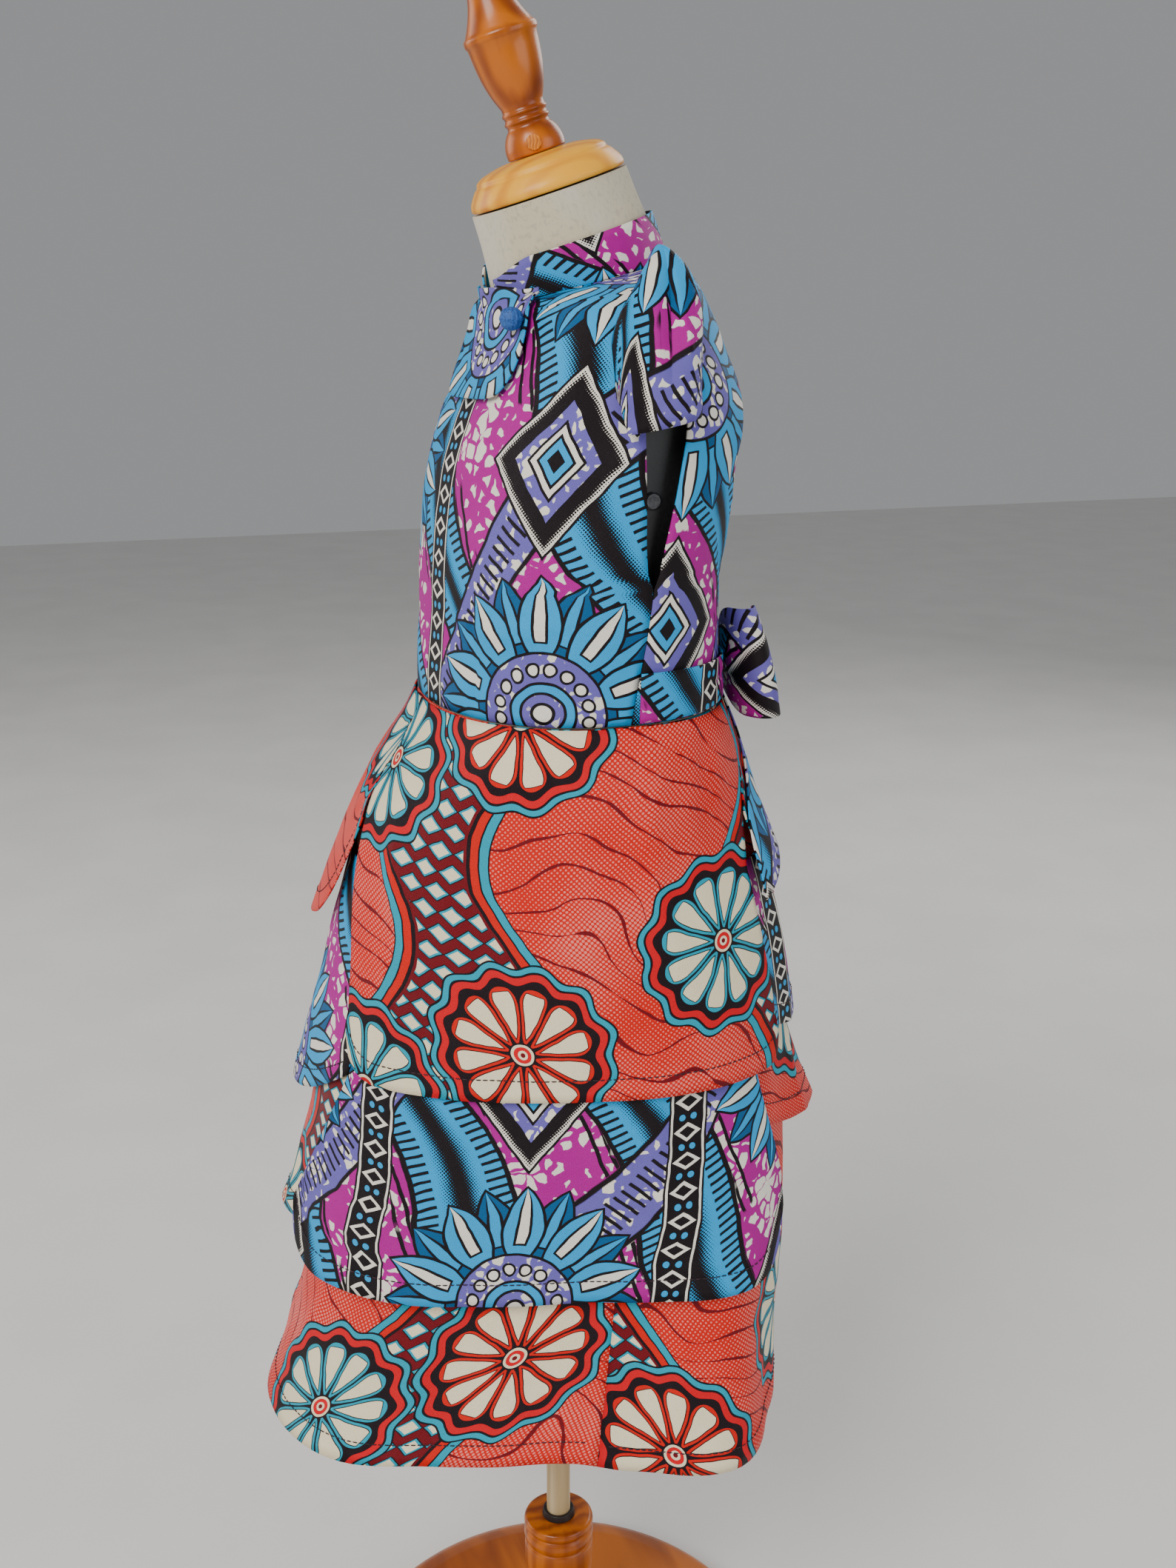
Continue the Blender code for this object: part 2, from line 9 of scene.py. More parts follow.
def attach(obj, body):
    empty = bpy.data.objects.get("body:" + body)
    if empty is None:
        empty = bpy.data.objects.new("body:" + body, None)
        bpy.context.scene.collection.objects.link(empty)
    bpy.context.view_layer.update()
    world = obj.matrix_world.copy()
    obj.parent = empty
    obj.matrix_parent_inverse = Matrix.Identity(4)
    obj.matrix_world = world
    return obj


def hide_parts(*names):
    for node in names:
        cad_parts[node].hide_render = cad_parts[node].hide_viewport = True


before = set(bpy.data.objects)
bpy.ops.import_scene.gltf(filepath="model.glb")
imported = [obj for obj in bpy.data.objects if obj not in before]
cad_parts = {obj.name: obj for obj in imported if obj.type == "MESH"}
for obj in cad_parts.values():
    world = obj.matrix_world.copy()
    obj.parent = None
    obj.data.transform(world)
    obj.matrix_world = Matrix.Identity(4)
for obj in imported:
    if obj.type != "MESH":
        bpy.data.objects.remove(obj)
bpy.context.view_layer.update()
print("scene: frame loaded,", len(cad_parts), "nodes")


# Camera and light

view = {
    "turn": radians(70),      # from the dress's front towards the wearer's left
    "distance": 0.838,
    "sideways": 0.018,
    "height": 0.830,
    "dip": radians(15.7),
    "lens": 37.41,
}


def addToScene(name, data):
    made = bpy.data.objects.new(name, data)
    bpy.context.scene.collection.objects.link(made)
    return made


def aim(thing, way):
    thing.rotation_euler = way.to_track_quat("-Z", "Y").to_euler()


def placeCamera():
    turn, dip = view["turn"], view["dip"]
    toward, right = Vector((sin(turn), -cos(turn), 0)), Vector((cos(turn), sin(turn), 0))
    data = bpy.data.cameras.new("photoCamera")
    data.sensor_fit = "VERTICAL"
    data.sensor_height = 36
    data.lens = view["lens"]
    data.clip_start = 0.05
    camera = addToScene("photoCamera", data)
    camera.location = toward * view["distance"] + right * view["sideways"] + Vector((0, 0, view["height"]))
    aim(camera, -toward * cos(dip) - Vector((0, 0, sin(dip))))
    bpy.context.scene.camera = camera


studio = {
    # name: where it stands, size, power, colour
    "keyLight": ((1.5, -1.7, 2.1), 1.3, 70, (1.0, 0.97, 0.93)),
    "fillLight": ((2.2, 1.5, 1.3), 1.8, 24, (0.93, 0.96, 1.0)),
    "frontLight": ((-1.6, -2.0, 1.2), 1.6, 22, (1.0, 0.98, 0.96)),
    "backLight": ((-1.3, 1.9, 2.0), 1.5, 28, (1.0, 0.98, 0.95)),
}

room = {"colour": (0.82, 0.83, 0.85, 1), "strength": 0.36, "middle": (0, 0, 0.58)}


def lightStudio():
    for name, (where, size, power, colour) in studio.items():
        data = bpy.data.lights.new(name, "AREA")
        data.size = size
        data.energy = power
        data.color = colour
        lamp = addToScene(name, data)
        lamp.location = where
        aim(lamp, Vector(room["middle"]) - lamp.location)
    world = bpy.data.worlds.new("paleRoom")
    bpy.context.scene.world = world
    world.use_nodes = True
    background = world.node_tree.nodes["Background"].inputs
    background["Color"].default_value = room["colour"]
    background["Strength"].default_value = room["strength"]


placeCamera()
lightStudio()
print("scene: camera and lights")


# Sums that the surfaces share

def mix(a, b, t):
    return a + (b - a) * t


def ease(t):
    t = min(max(t, 0.0), 1.0)
    return t * t * (3 - 2 * t)


def rowAt(table, where):
    # a smooth row between the rows of a table whose first column only grows
    knots = [row[0] for row in table]
    where = min(max(where, knots[0]), knots[-1])
    i = min(max(bisect_right(knots, where) - 1, 0), len(table) - 2)
    before, after = max(i - 1, 0), min(i + 2, len(table) - 1)
    span = knots[i + 1] - knots[i]
    t = (where - knots[i]) / span
    found = []
    for column in range(1, len(table[0])):
        low, high = table[i][column], table[i + 1][column]
        start = (high - table[before][column]) / (knots[i + 1] - knots[before]) * span
        end = (table[after][column] - low) / (knots[after] - knots[i]) * span
        curve = (2 * t**3 - 3 * t**2 + 1) * low + (t**3 - 2 * t**2 + t) * start
        found.append(curve + (3 * t**2 - 2 * t**3) * high + (t**3 - t**2) * end)
    return found


def straightAt(table, where):
    where = min(max(where, table[0][0]), table[-1][0])
    for low, high in zip(table, table[1:]):
        if where <= high[0]:
            return mix(low[1], high[1], (where - low[0]) / (high[0] - low[0]))
    return table[-1][1]


def reach(angle, halfWidth, front, back, power):
    deep = (front + back) / 2
    return (abs(cos(angle) / halfWidth) ** power + abs(sin(angle) / deep) ** power) ** (-1 / power)


def movedOut(surface, a, b, out, step=1e-4):
    along = surface(a + step, b) - surface(a - step, b)
    up = surface(a, b + step) - surface(a, b - step)
    return surface(a, b) + along.cross(up).normalized() * out


def inMetres(columns, rows):
    # a table whose first columns are in millimetres
    return [[value / 1000 if k < columns else value for k, value in enumerate(row)] for row in rows]


# The worn shape, as the model's solids have it

fit = {
    "wall": 0.0012,           # thickness of the model's cloth solids
    "shell": 0.0009,          # thickness of the cloth here
    "gap": 0.0003,
    "layer": 0.0018,
    "waistHeight": 0.647,
    "skirtLength": 0.387,
    "skirtTurn": radians(-20),
    "turnDepth": 0.06,
}

torsoRings = inMetres(5, (
    # in mm: way up, height, half width, front y, back y; then squareness, rise towards the back
    (-47, 600, 88, -65.5, 78.5, 2.25, 0.00),
    (0, 647, 90, -66.6, 79.5, 2.25, 0.00),
    (53, 700, 95.5, -64, 76.5, 2.25, 0.00),
    (93, 740, 98, -60, 79.5, 2.25, 0.00),
    (123, 770, 98.5, -54.5, 84.5, 2.25, 0.00),
    (148, 795, 97.5, -46, 83.8, 2.25, 0.03),
    (172, 818, 93.5, -37.5, 75, 2.20, 0.08),
    (189, 834, 88.5, -32.5, 66.5, 2.20, 0.14),
    (199, 842, 82, -31.5, 62, 2.15, 0.18),
    (212, 847, 70, -30.8, 59.5, 2.10, 0.22),
    (226, 849, 56.5, -30.3, 58, 2.05, 0.24),
    (238, 849.5, 44, -30, 57, 2.00, 0.25),
    (245, 855.5, 42.8, -30.5, 55.1, 2.00, 0.28),
    (258, 868, 41, -32.5, 49.5, 2.00, 0.32),
    (271, 880, 39.5, -35.5, 43.5, 2.00, 0.34),
    (285, 893, 38.7, -39.7, 37.7, 2.00, 0.344),
))

bodiceEdges = inMetres(3, (
    # in mm: way up, y of the front's edge, y of the back's edge
    (0, 7.7, 7.7),
    (20, 10.5, 10.5),
    (40, 13.5, 13.5),
    (56, 15.2, 15.2),
    (65, 16, 16),
    (72, 13, 18.5),
    (86, 11.8, 21.5),
    (108, 11.5, 26.2),
    (132, 11, 30.5),
    (155, 10.5, 32.5),
    (175, 11, 32.5),
    (189, 13, 30),
    (198, 16.5, 25.5),
    (204, 20.5, 20.5),
    (215, 18, 18),
    (227, 16, 16),
    (238.5, 14.2, 14.2),
))

skirtRings = inMetres(4, (
    # in mm: drop, half width, reach to the front, reach to the back; then squareness
    (0, 88, 70, 83, 2.20),
    (30, 91.5, 87, 90, 2.20),
    (60, 93.5, 98.5, 99.5, 2.25),
    (90, 94.5, 107.5, 108.5, 2.30),
    (140, 95, 116.5, 117.5, 2.35),
    (190, 95.5, 125.5, 121.5, 2.45),
    (240, 98.5, 131, 126.5, 2.60),
    (300, 103, 136, 126.5, 2.85),
    (340, 109.5, 145, 123.5, 3.05),
    (387, 120, 162.5, 123, 3.25),
))

skirtFolds = (
    # angle, half width in degrees, depth at the hem, drop where it starts
    (46, 18, 0.0130, 0.180),
    (12, 20, -0.0035, 0.120),
    (-38, 18, 0.0040, 0.200),
    (-92, 22, -0.0040, 0.240),
    (-140, 20, 0.0080, 0.200),
    (168, 22, -0.0050, 0.160),
    (128, 18, 0.0090, 0.180),
    (88, 16, -0.0040, 0.140),
)

tierLines = {
    # drop, degrees from the middle of the front or back where the side petals end
    "front1": ((0.0, 15), (0.057, 26), (0.127, 31), (0.187, 34)),
    "back1": ((0.0, 15), (0.080, 30), (0.142, 26), (0.187, 23)),
    "front2": ((0.080, 43), (0.120, 41), (0.187, 34), (0.227, 27.5), (0.272, 20.5), (0.297, 21)),
    "back2": ((0.080, 40), (0.140, 35), (0.200, 30), (0.250, 26), (0.297, 28)),
    "wide3": ((0.150, 36), (0.300, 38)),
}


def torso(angle, way):
    height, halfWidth, front, back, power, rise = rowAt(torsoRings, way)
    middle = (front + back) / 2
    r = reach(angle, halfWidth, -front, back, power)
    x, y = r * cos(angle), r * sin(angle)
    return Vector((x, middle + y, height + rise * y))


def edgeAngle(way, y, side=0.0):
    _, halfWidth, front, back, power, _ = rowAt(torsoRings, way)
    middle, deep = (front + back) / 2, (back - front) / 2
    x = halfWidth * (1 - abs((y - middle) / deep) ** power) ** (1 / power)
    return atan2(y - middle + side, x)


def skirtFold(angle, drop):
    depth = 0.0
    for where, halfWidth, height, start in skirtFolds:
        off = (angle - where + 180) % 360 - 180
        if abs(off) < halfWidth:
            down = ease((drop - start) / (fit["skirtLength"] - start))
            depth += height * cos(off / halfWidth * pi / 2) ** 2 * down
    return depth


def skirtRing(angle, drop):
    # angles are degrees round the skirt's own middle: 0 left side, -90 front, 90 back
    halfWidth, front, back, power = rowAt(skirtRings, drop)
    turned = reach(radians(angle), halfWidth, front, back, power)
    middle = (back - front) / 2
    centre = Vector((-sin(fit["skirtTurn"]), cos(fit["skirtTurn"]))) * middle
    way = radians(angle) + fit["skirtTurn"]
    _, half, low, high, power, _ = rowAt(torsoRings, 0.0)
    plain = reach(way, half, -low, high, power)
    share = ease(drop / fit["turnDepth"])
    own = turned + (skirtFold(angle, drop) if drop > 0 else 0.0)
    atWaist = plain + (own - reach(radians(angle), *rowAt(skirtRings, 0.0)))
    r = mix(atWaist, own, share)
    centre = Vector((0, (low + high) / 2)).lerp(centre, share)
    return centre + Vector((cos(way), sin(way))) * r


def skirt(angle, drop, out=0.0):
    ring = skirtRing(angle, max(drop, 0.0))
    along = skirtRing(angle + 1, max(drop, 0.0)) - skirtRing(angle - 1, max(drop, 0.0))
    level = ring + Vector((along.y, -along.x)).normalized() * out
    return Vector((level.x, level.y, fit["waistHeight"] - drop))


# What every piece shares

def inCad(name):
    # how the model writes a name: bowKnot is bow_knot
    return "".join("_" + letter.lower() if letter.isupper() else letter for letter in name)


def makePiece(name, bm, look, angle, cad=None, slot=None):
    # cad: the solids that it stands for, where they aren't the one of its own name
    mesh = bpy.data.meshes.new(name)
    bm.to_mesh(mesh)
    bm.free()
    mesh.materials.append(looks[look])
    piece = addToScene(name, mesh)
    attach(piece, "root")
    slot or slots.get(look, inCad(look))
    mesh.shade_smooth()
    mesh.set_sharp_from_angle(angle=radians(angle))
    if cad != ():
        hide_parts(*(cad or [inCad(name)]))
    return piece


def joinRings(bm, rings):
    # faces between rings of points, closed at both ends
    for low, high in zip(rings, rings[1:]):
        for i in range(len(low)):
            k = (i + 1) % len(low)
            bm.faces.new((low[i], low[k], high[k], high[i]))
    bm.faces.new(list(reversed(rings[0])))
    bm.faces.new(rings[-1])
    bmesh.ops.recalc_face_normals(bm, faces=bm.faces)


def tieBall(name, look, segments, size, where, swell):
    # a knot: a ball that swells and sinks along its strands or pleats
    bm = bmesh.new()
    bmesh.ops.create_uvsphere(bm, u_segments=segments[0], v_segments=segments[1], radius=1)
    uv = bm.loops.layers.uv.new("clothMetres")
    for vert in bm.verts:
        vert.co *= swell(*vert.co)
    for face in bm.faces:
        for loop in face.loops:
            loop[uv].uv = (0.05 + loop.vert.co.x * 0.0115, 0.04 + loop.vert.co.z * 0.013)
    bmesh.ops.scale(bm, vec=size, verts=bm.verts)
    bmesh.ops.translate(bm, vec=where, verts=bm.verts)
    makePiece(name, bm, look, 80)


# Cloth panels: a fine grid laid on surface(u, v), with its creases, hem and thickness; its cut size is
# worked out but not used

def gridPoints(surface, across, up):
    return [[surface(i / across, j / up) for i in range(across + 1)] for j in range(up + 1)]


def gridMeasures(points):
    # for each point its way from the panel's middle line and down from its top edge, in metres
    up, across = len(points) - 1, len(points[0]) - 1
    middle = across // 2
    down = [[0.0] * (across + 1) for _ in points]
    for j in range(up - 1, -1, -1):
        down[j] = [d + (a - b).length for d, a, b in zip(down[j + 1], points[j], points[j + 1])]
    along = []
    for j, row in enumerate(points):
        near = points[j + 1] if j < up else points[j - 1]
        way = [0.0] * (across + 1)
        for i in range(across):
            step, thread = row[i + 1] - row[i], (near[i] - row[i]).normalized()
            way[i + 1] = way[i] + (step - thread * step.dot(thread)).length
        along.append([w - way[middle] for w in way])
    return along, down


def gridNormals(points):
    up, across = len(points) - 1, len(points[0]) - 1

    def normal(i, j):
        a = points[j][min(i + 1, across)] - points[j][max(i - 1, 0)]
        b = points[min(j + 1, up)][i] - points[max(j - 1, 0)][i]
        return a.cross(b).normalized()

    return [[normal(i, j) for i in range(across + 1)] for j in range(up + 1)]


def creaseDepth(creases, s, t):
    # creases are soft ridges (+) and troughs (-) along straight or bowed lines on the cloth
    depth = 0.0
    for s0, t0, s1, t1, bow, wide, height in creases:
        length = hypot(s1 - s0, t1 - t0)
        ds, dt = (s1 - s0) / length, (t1 - t0) / length
        way = (s - s0) * ds + (t - t0) * dt
        share = way / length
        off = (s - s0) * -dt + (t - t0) * ds - bow * 4 * share * (1 - share)
        if -0.15 < share < 1.15 and abs(off) < wide * 3:
            ends = ease((share + 0.15) / 0.35) * ease((1.15 - share) / 0.35)
            depth += height * ends * exp(-((off / wide) ** 2) * 2.2)
    return depth


clothFeel = {
    "waves": ((17, 0.0013), (48, 0.00050)),   # waves per metre and height of the soft unevenness
    "seed": Vector((3.7, 1.1, 0.7)),          # shared, so that layers on each other wave together
    "deepest": -0.00025,                      # how far a trough may sink under the model's own surface
    "hemWide": 0.0115,
    "hemStep": 0.00042,
    "hemDent": (0.0005, 0.0013),              # depth and half width of the groove along the stitches
    "edgeFade": 0.010,
}


def hemLine(verts, normals, down):
    # where the topstitching runs, with the cloth's normal there
    line = []
    for i in range(1, len(verts[0]) - 1):
        at = down[0][i] - clothFeel["hemWide"]
        j = min(range(len(verts)), key=lambda k: abs(down[k][i] - at))
        k = min(max(j + (1 if down[j][i] > at else -1), 0), len(verts) - 1)
        span = down[k][i] - down[j][i]
        share = (at - down[j][i]) / span if span else 0.0
        line.append((verts[j][i].co.lerp(verts[k][i].co, min(max(share, 0.0), 1.0)), normals[j][i]))
    return line


def lineLength(points):
    return sum((a - b).length for a, b in zip(points, points[1:]))


def clothPanel(name, kind, surface, spacing, cut, held="hung", cad=None, creases=(), hem=False, calm=1.0,
               out=fit["wall"] / 2, stitch=True, grain="rows"):
    # kind: its print. cut: where it lies on the print (x, y, turn in degrees)
    # grain: the print follows the panel's rows, its top edge or its hem. creases: in mm
    creases = inMetres(7, creases)
    rough = gridPoints(surface, 8, 8)
    across, up = (max(least, round(max(lineLength(line) for line in lines) / spacing))
                  for least, lines in ((6, rough), (3, list(zip(*rough)))))
    across += across % 2
    points = gridPoints(surface, across, up)
    along, down = gridMeasures(points)
    normals = gridNormals(points)
    turnX, turnY = cos(radians(cut[2])), sin(radians(cut[2]))
    dent, dentWide = clothFeel["hemDent"]
    bm = bmesh.new()
    uv = bm.loops.layers.uv.new("clothMetres")
    verts, where = [], {}
    for j in range(up + 1):
        verts.append([])
        for i in range(across + 1):
            point, x, fallen = points[j][i], along[j][i], down[j][i]
            toHem = down[0][i] - fallen
            edge = min(x - along[j][0], along[j][across] - x, fallen, 1.0 if hem else toHem)
            waves = sum(noise.noise(point * pitch + clothFeel["seed"]) * height
                        for pitch, height in clothFeel["waves"])
            folded = waves * calm + creaseDepth(creases, x, fallen)
            depth = out + folded * ease(edge / clothFeel["edgeFade"])
            if hem:
                depth += clothFeel["hemStep"] * ease((clothFeel["hemWide"] + 0.001 - toHem) / 0.002)
                depth -= dent * exp(-((toHem - clothFeel["hemWide"]) / dentWide) ** 2)
            vert = bm.verts.new(point + normals[j][i] * max(depth, clothFeel["deepest"]))
            y = {"rows": -down[j][across // 2], "top": -fallen, "hem": toHem}[grain]
            where[vert] = (cut[0] + x * turnX - y * turnY, cut[1] + x * turnY + y * turnX)
            verts[-1].append(vert)
    for low, high in zip(verts, verts[1:]):
        for i in range(across):
            face = bm.faces.new((low[i], low[i + 1], high[i + 1], high[i]))
            for loop in face.loops:
                loop[uv].uv = where[loop.vert]
    area = sum(face.calc_area() for face in bm.faces)
    stitches = hemLine(verts, normals, down) if hem and stitch else []
    piece = makePiece(name, bm, "print" + kind, 70, cad)
    thick = piece.modifiers.new("thickness", "SOLIDIFY")
    thick.thickness = fit["shell"]
    thick.offset = 0
    threads = [sewLine(name + "Stitches", stitches, inCad("print" + kind))] if stitches else []
    cutWide, cutTall = max(row[-1] - row[0] for row in along), max(down[0])
    round(min(area, cutWide * cutTall * 0.98), 4)


def sewPair(sew, name, cuts):
    for end, side, cut in zip(("Left", "Right"), (1, -1), cuts):
        sew(name + end, side, cut)


def sewMirrored(name, surface, spacing, cuts, **facts):
    # a pair in print A: surface is the left one's
    def mirrored(u, v):
        point = surface(1 - u, v)
        return Vector((-point.x, point.y, point.z))

    for end, own, cut in zip(("Left", "Right"), (surface, mirrored), cuts):
        clothPanel(name + end, "A", own, spacing, cut, **facts)


# Topstitching: short threads laid end to end along a line

threadSizes = {
    "pitch": 0.0034,
    "long": 0.0027,
    "thick": 0.00034,
    "lift": 0.00052,
    "rings": ((0.0, 0.45, -0.2), (0.25, 1.0, 0.5), (0.75, 1.0, 0.5), (1.0, 0.45, -0.2)),   # way, girth, rise
}


def sewLine(name, line, slot):
    bm = bmesh.new()
    ways = [0.0]
    for (a, _), (b, _) in zip(line, line[1:]):
        ways.append(ways[-1] + (b - a).length)

    def pointAt(way):
        k = min(max(bisect_right(ways, way) - 1, 0), len(ways) - 2)
        share = (way - ways[k]) / max(ways[k + 1] - ways[k], 1e-9)
        point, normal = (a.lerp(b, share) for a, b in zip(line[k], line[k + 1]))
        return point, normal.normalized()

    for n in range(int(ways[-1] / threadSizes["pitch"])):
        begin = n * threadSizes["pitch"]
        ahead = (pointAt(begin + threadSizes["long"])[0] - pointAt(begin)[0]).normalized()
        rings = []
        for share, girth, rise in threadSizes["rings"]:
            point, normal = pointAt(begin + share * threadSizes["long"])
            side = normal.cross(ahead).normalized()
            middle = point + normal * (threadSizes["lift"] + rise * threadSizes["thick"])
            spokes = (side, normal, -side, -normal)
            rings.append([bm.verts.new(middle + spoke * threadSizes["thick"] * girth) for spoke in spokes])
        joinRings(bm, rings)
    return makePiece(name, bm, "thread", 60, (), slot)


# Prints: each is drawn by shader nodes on the cloth's own metres

def feed(tree, node, inputs):
    # inputs: for each of the node's inputs its value, or the ink that feeds it
    for place, value in inputs.items():
        socket = node.inputs[place]
        if isinstance(value, Ink):
            tree.links.new(value.socket, socket)
        else:
            socket.default_value = (*value, 1) if socket.type == "RGBA" else value


def inkOf(tree, kind, inputs, output=0, **facts):
    # one new node's output
    made = tree.nodes.new("ShaderNode" + kind)
    for name, value in facts.items():
        setattr(made, name, value)
    feed(tree, made, inputs)
    return Ink(tree, made.outputs[output])


class Ink:
    # one value of a print on its way through the shader's nodes
    def __init__(self, tree, socket):
        self.tree, self.socket = tree, socket

    def sum(self, kind, *values, clamp=False):
        return inkOf(self.tree, "Math", dict(enumerate((self, *values))), operation=kind, use_clamp=clamp)

    def line(self, slope, start, clamp=False):
        return self.sum("MULTIPLY_ADD", slope, start, clamp=clamp)

    def __add__(self, other):
        return self.sum("ADD", other)

    def __sub__(self, other):
        return self.sum("SUBTRACT", other)

    def __mul__(self, other):
        return self.sum("MULTIPLY", other)

    def __truediv__(self, other):
        return self.sum("DIVIDE", other)

    def below(self, limit, soft=0.00016):
        # 1 where the value is under the limit, with a soft printed edge
        if isinstance(limit, Ink):
            return ((limit - self) * (1 / soft)).sum("ADD", 0.5, clamp=True)
        return self.line(-1 / soft, limit / soft + 0.5, clamp=True)

    def above(self, limit, soft=0.00016):
        return self.line(1 / soft, 0.5 - limit / soft, clamp=True)

    def both(self, *others):
        mask = self
        for other in others:
            mask = mask * other
        return mask

    def size(self):
        return self.sum("ABSOLUTE")

    def wave(self):
        return self.sum("SINE")

    def cycle(self, pitch):
        return (self / pitch).sum("FRACT")

    def stripe(self, pitch):
        # -0.5 to 0.5 across each stripe
        return self.cycle(pitch) - 0.5

    def far(self, other):
        return (self * self + other * other).sum("SQRT")


def paint(red, green, blue):
    # screen colours from 0 to 255, as light
    return tuple(((c / 255 + 0.055) / 1.055) ** 2.4 if c > 10 else c / 255 / 12.92
                 for c in (red, green, blue))


class Cloth:
    # a print's colours, laid one over another
    def __init__(self, name, inks, ground):
        self.look, self.tree, self.shader = newLook(name)
        self.inks = {ink: paint(*colour) for ink, colour in inks.items()}
        self.colour = self.inks[ground]
        self.place = inkOf(self.tree, "UVMap", {}, uv_map="clothMetres")
        wobble = self.noise(55, output="Color")
        self.x, self.y = (inkOf(self.tree, "SeparateXYZ", {0: self.place}, k)
                          + inkOf(self.tree, "SeparateXYZ", {0: wobble}, k) * 0.0028 for k in (0, 1))

    def noise(self, scale, detail=2.0, output=0):
        return inkOf(self.tree, "TexNoise", {"Vector": self.place, "Scale": scale, "Detail": detail}, output)

    def cells(self, scale):
        # how far inside its cell a point is, so cells of uneven shape can be drawn with gaps between them
        wobble = {0: self.noise(scale * 0.9, output="Color"), 1: (0.75 / scale,) * 3, 2: self.place}
        place = inkOf(self.tree, "VectorMath", wobble, operation="MULTIPLY_ADD")
        return inkOf(self.tree, "TexVoronoi", {"Scale": scale, "Vector": place}, "Distance",
                     feature="DISTANCE_TO_EDGE")

    def dots(self, pitch):
        # how far a point is from the middle of its dot, in rows that lean
        return (self.x + self.y).stripe(pitch * 1.414).far((self.x - self.y).stripe(pitch * 1.414))

    def weave(self, pitch):
        return (self.x * (2 * pi / pitch)).wave() * (self.y * (2 * pi / pitch)).wave()

    def blend(self, under, over, mask):
        under, over = (self.inks[ink] if isinstance(ink, str) else ink for ink in (under, over))
        return inkOf(self.tree, "Mix", {0: mask, 6: under, 7: over}, 2, data_type="RGBA")

    def lay(self, ink, mask):
        self.colour = self.blend(self.colour, ink, mask)

    def rings(self, r, *bands, soft=0.00016):
        for radius, ink in bands:
            self.lay(ink, r.below(radius, soft))

    def halfDrop(self, repeat, shift=(0.0, 0.0)):
        # the repeat: each column stands half a repeat higher than the last
        wide, tall = repeat
        x = self.x + shift[0]
        column = (x / wide).sum("FLOOR")
        y = self.y + shift[1] + column * (tall / 2)
        return x - (column + 0.5) * wide, y - ((y / tall).sum("FLOOR") + 0.5) * tall

    def finish(self, roughness):
        # waxed cotton: uneven tone, a fine weave and small crumples
        tone = self.noise(9, 3.0) * 0.16 + 0.92
        shade = {"Saturation": 1.12, "Value": tone, "Color": self.colour}
        height = self.weave(0.0008) * 0.5 + self.noise(900) * 0.6 + self.noise(140, 4.0) * 2.5
        feed(self.tree, self.shader, {
            "Base Color": inkOf(self.tree, "HueSaturation", shade),
            "Roughness": self.noise(26) * 0.16 + (roughness - 0.08),
            "Specular IOR Level": 0.20,
            "Normal": bumpOf(self.tree, height, 0.5, 0.0005),
        })
        return self.look


inkA = {
    "blue": (82, 168, 222),
    "deepBlue": (38, 92, 138),
    "lilac": (116, 108, 178),
    "magenta": (172, 30, 140),
    "cream": (236, 231, 220),
    "black": (17, 8, 13),
}

printAShapes = {
    "repeat": (0.158, 0.236),
    "flowerAt": (0.0, -0.056),
    "petals": 10,
    "petalMiddle": 0.0440,
    "petalLong": 0.0215,
    "petalWide": 0.0098,
    "outline": 0.0016,
    "disc": 0.0290,
    "beadRing": 0.0215,
    "beads": 16,
    "lozengeAt": (0.0, 0.062),
    "lozenge": (0.0330, 0.0430),
    "band": 0.0105,
    "zigzag": (0.0155, 0.0060),   # how long one zigzag is, and how far it swings
    "dotPitch": 0.00125,
    "leafPitch": 0.092,
    "lilacPitch": 0.131,
}


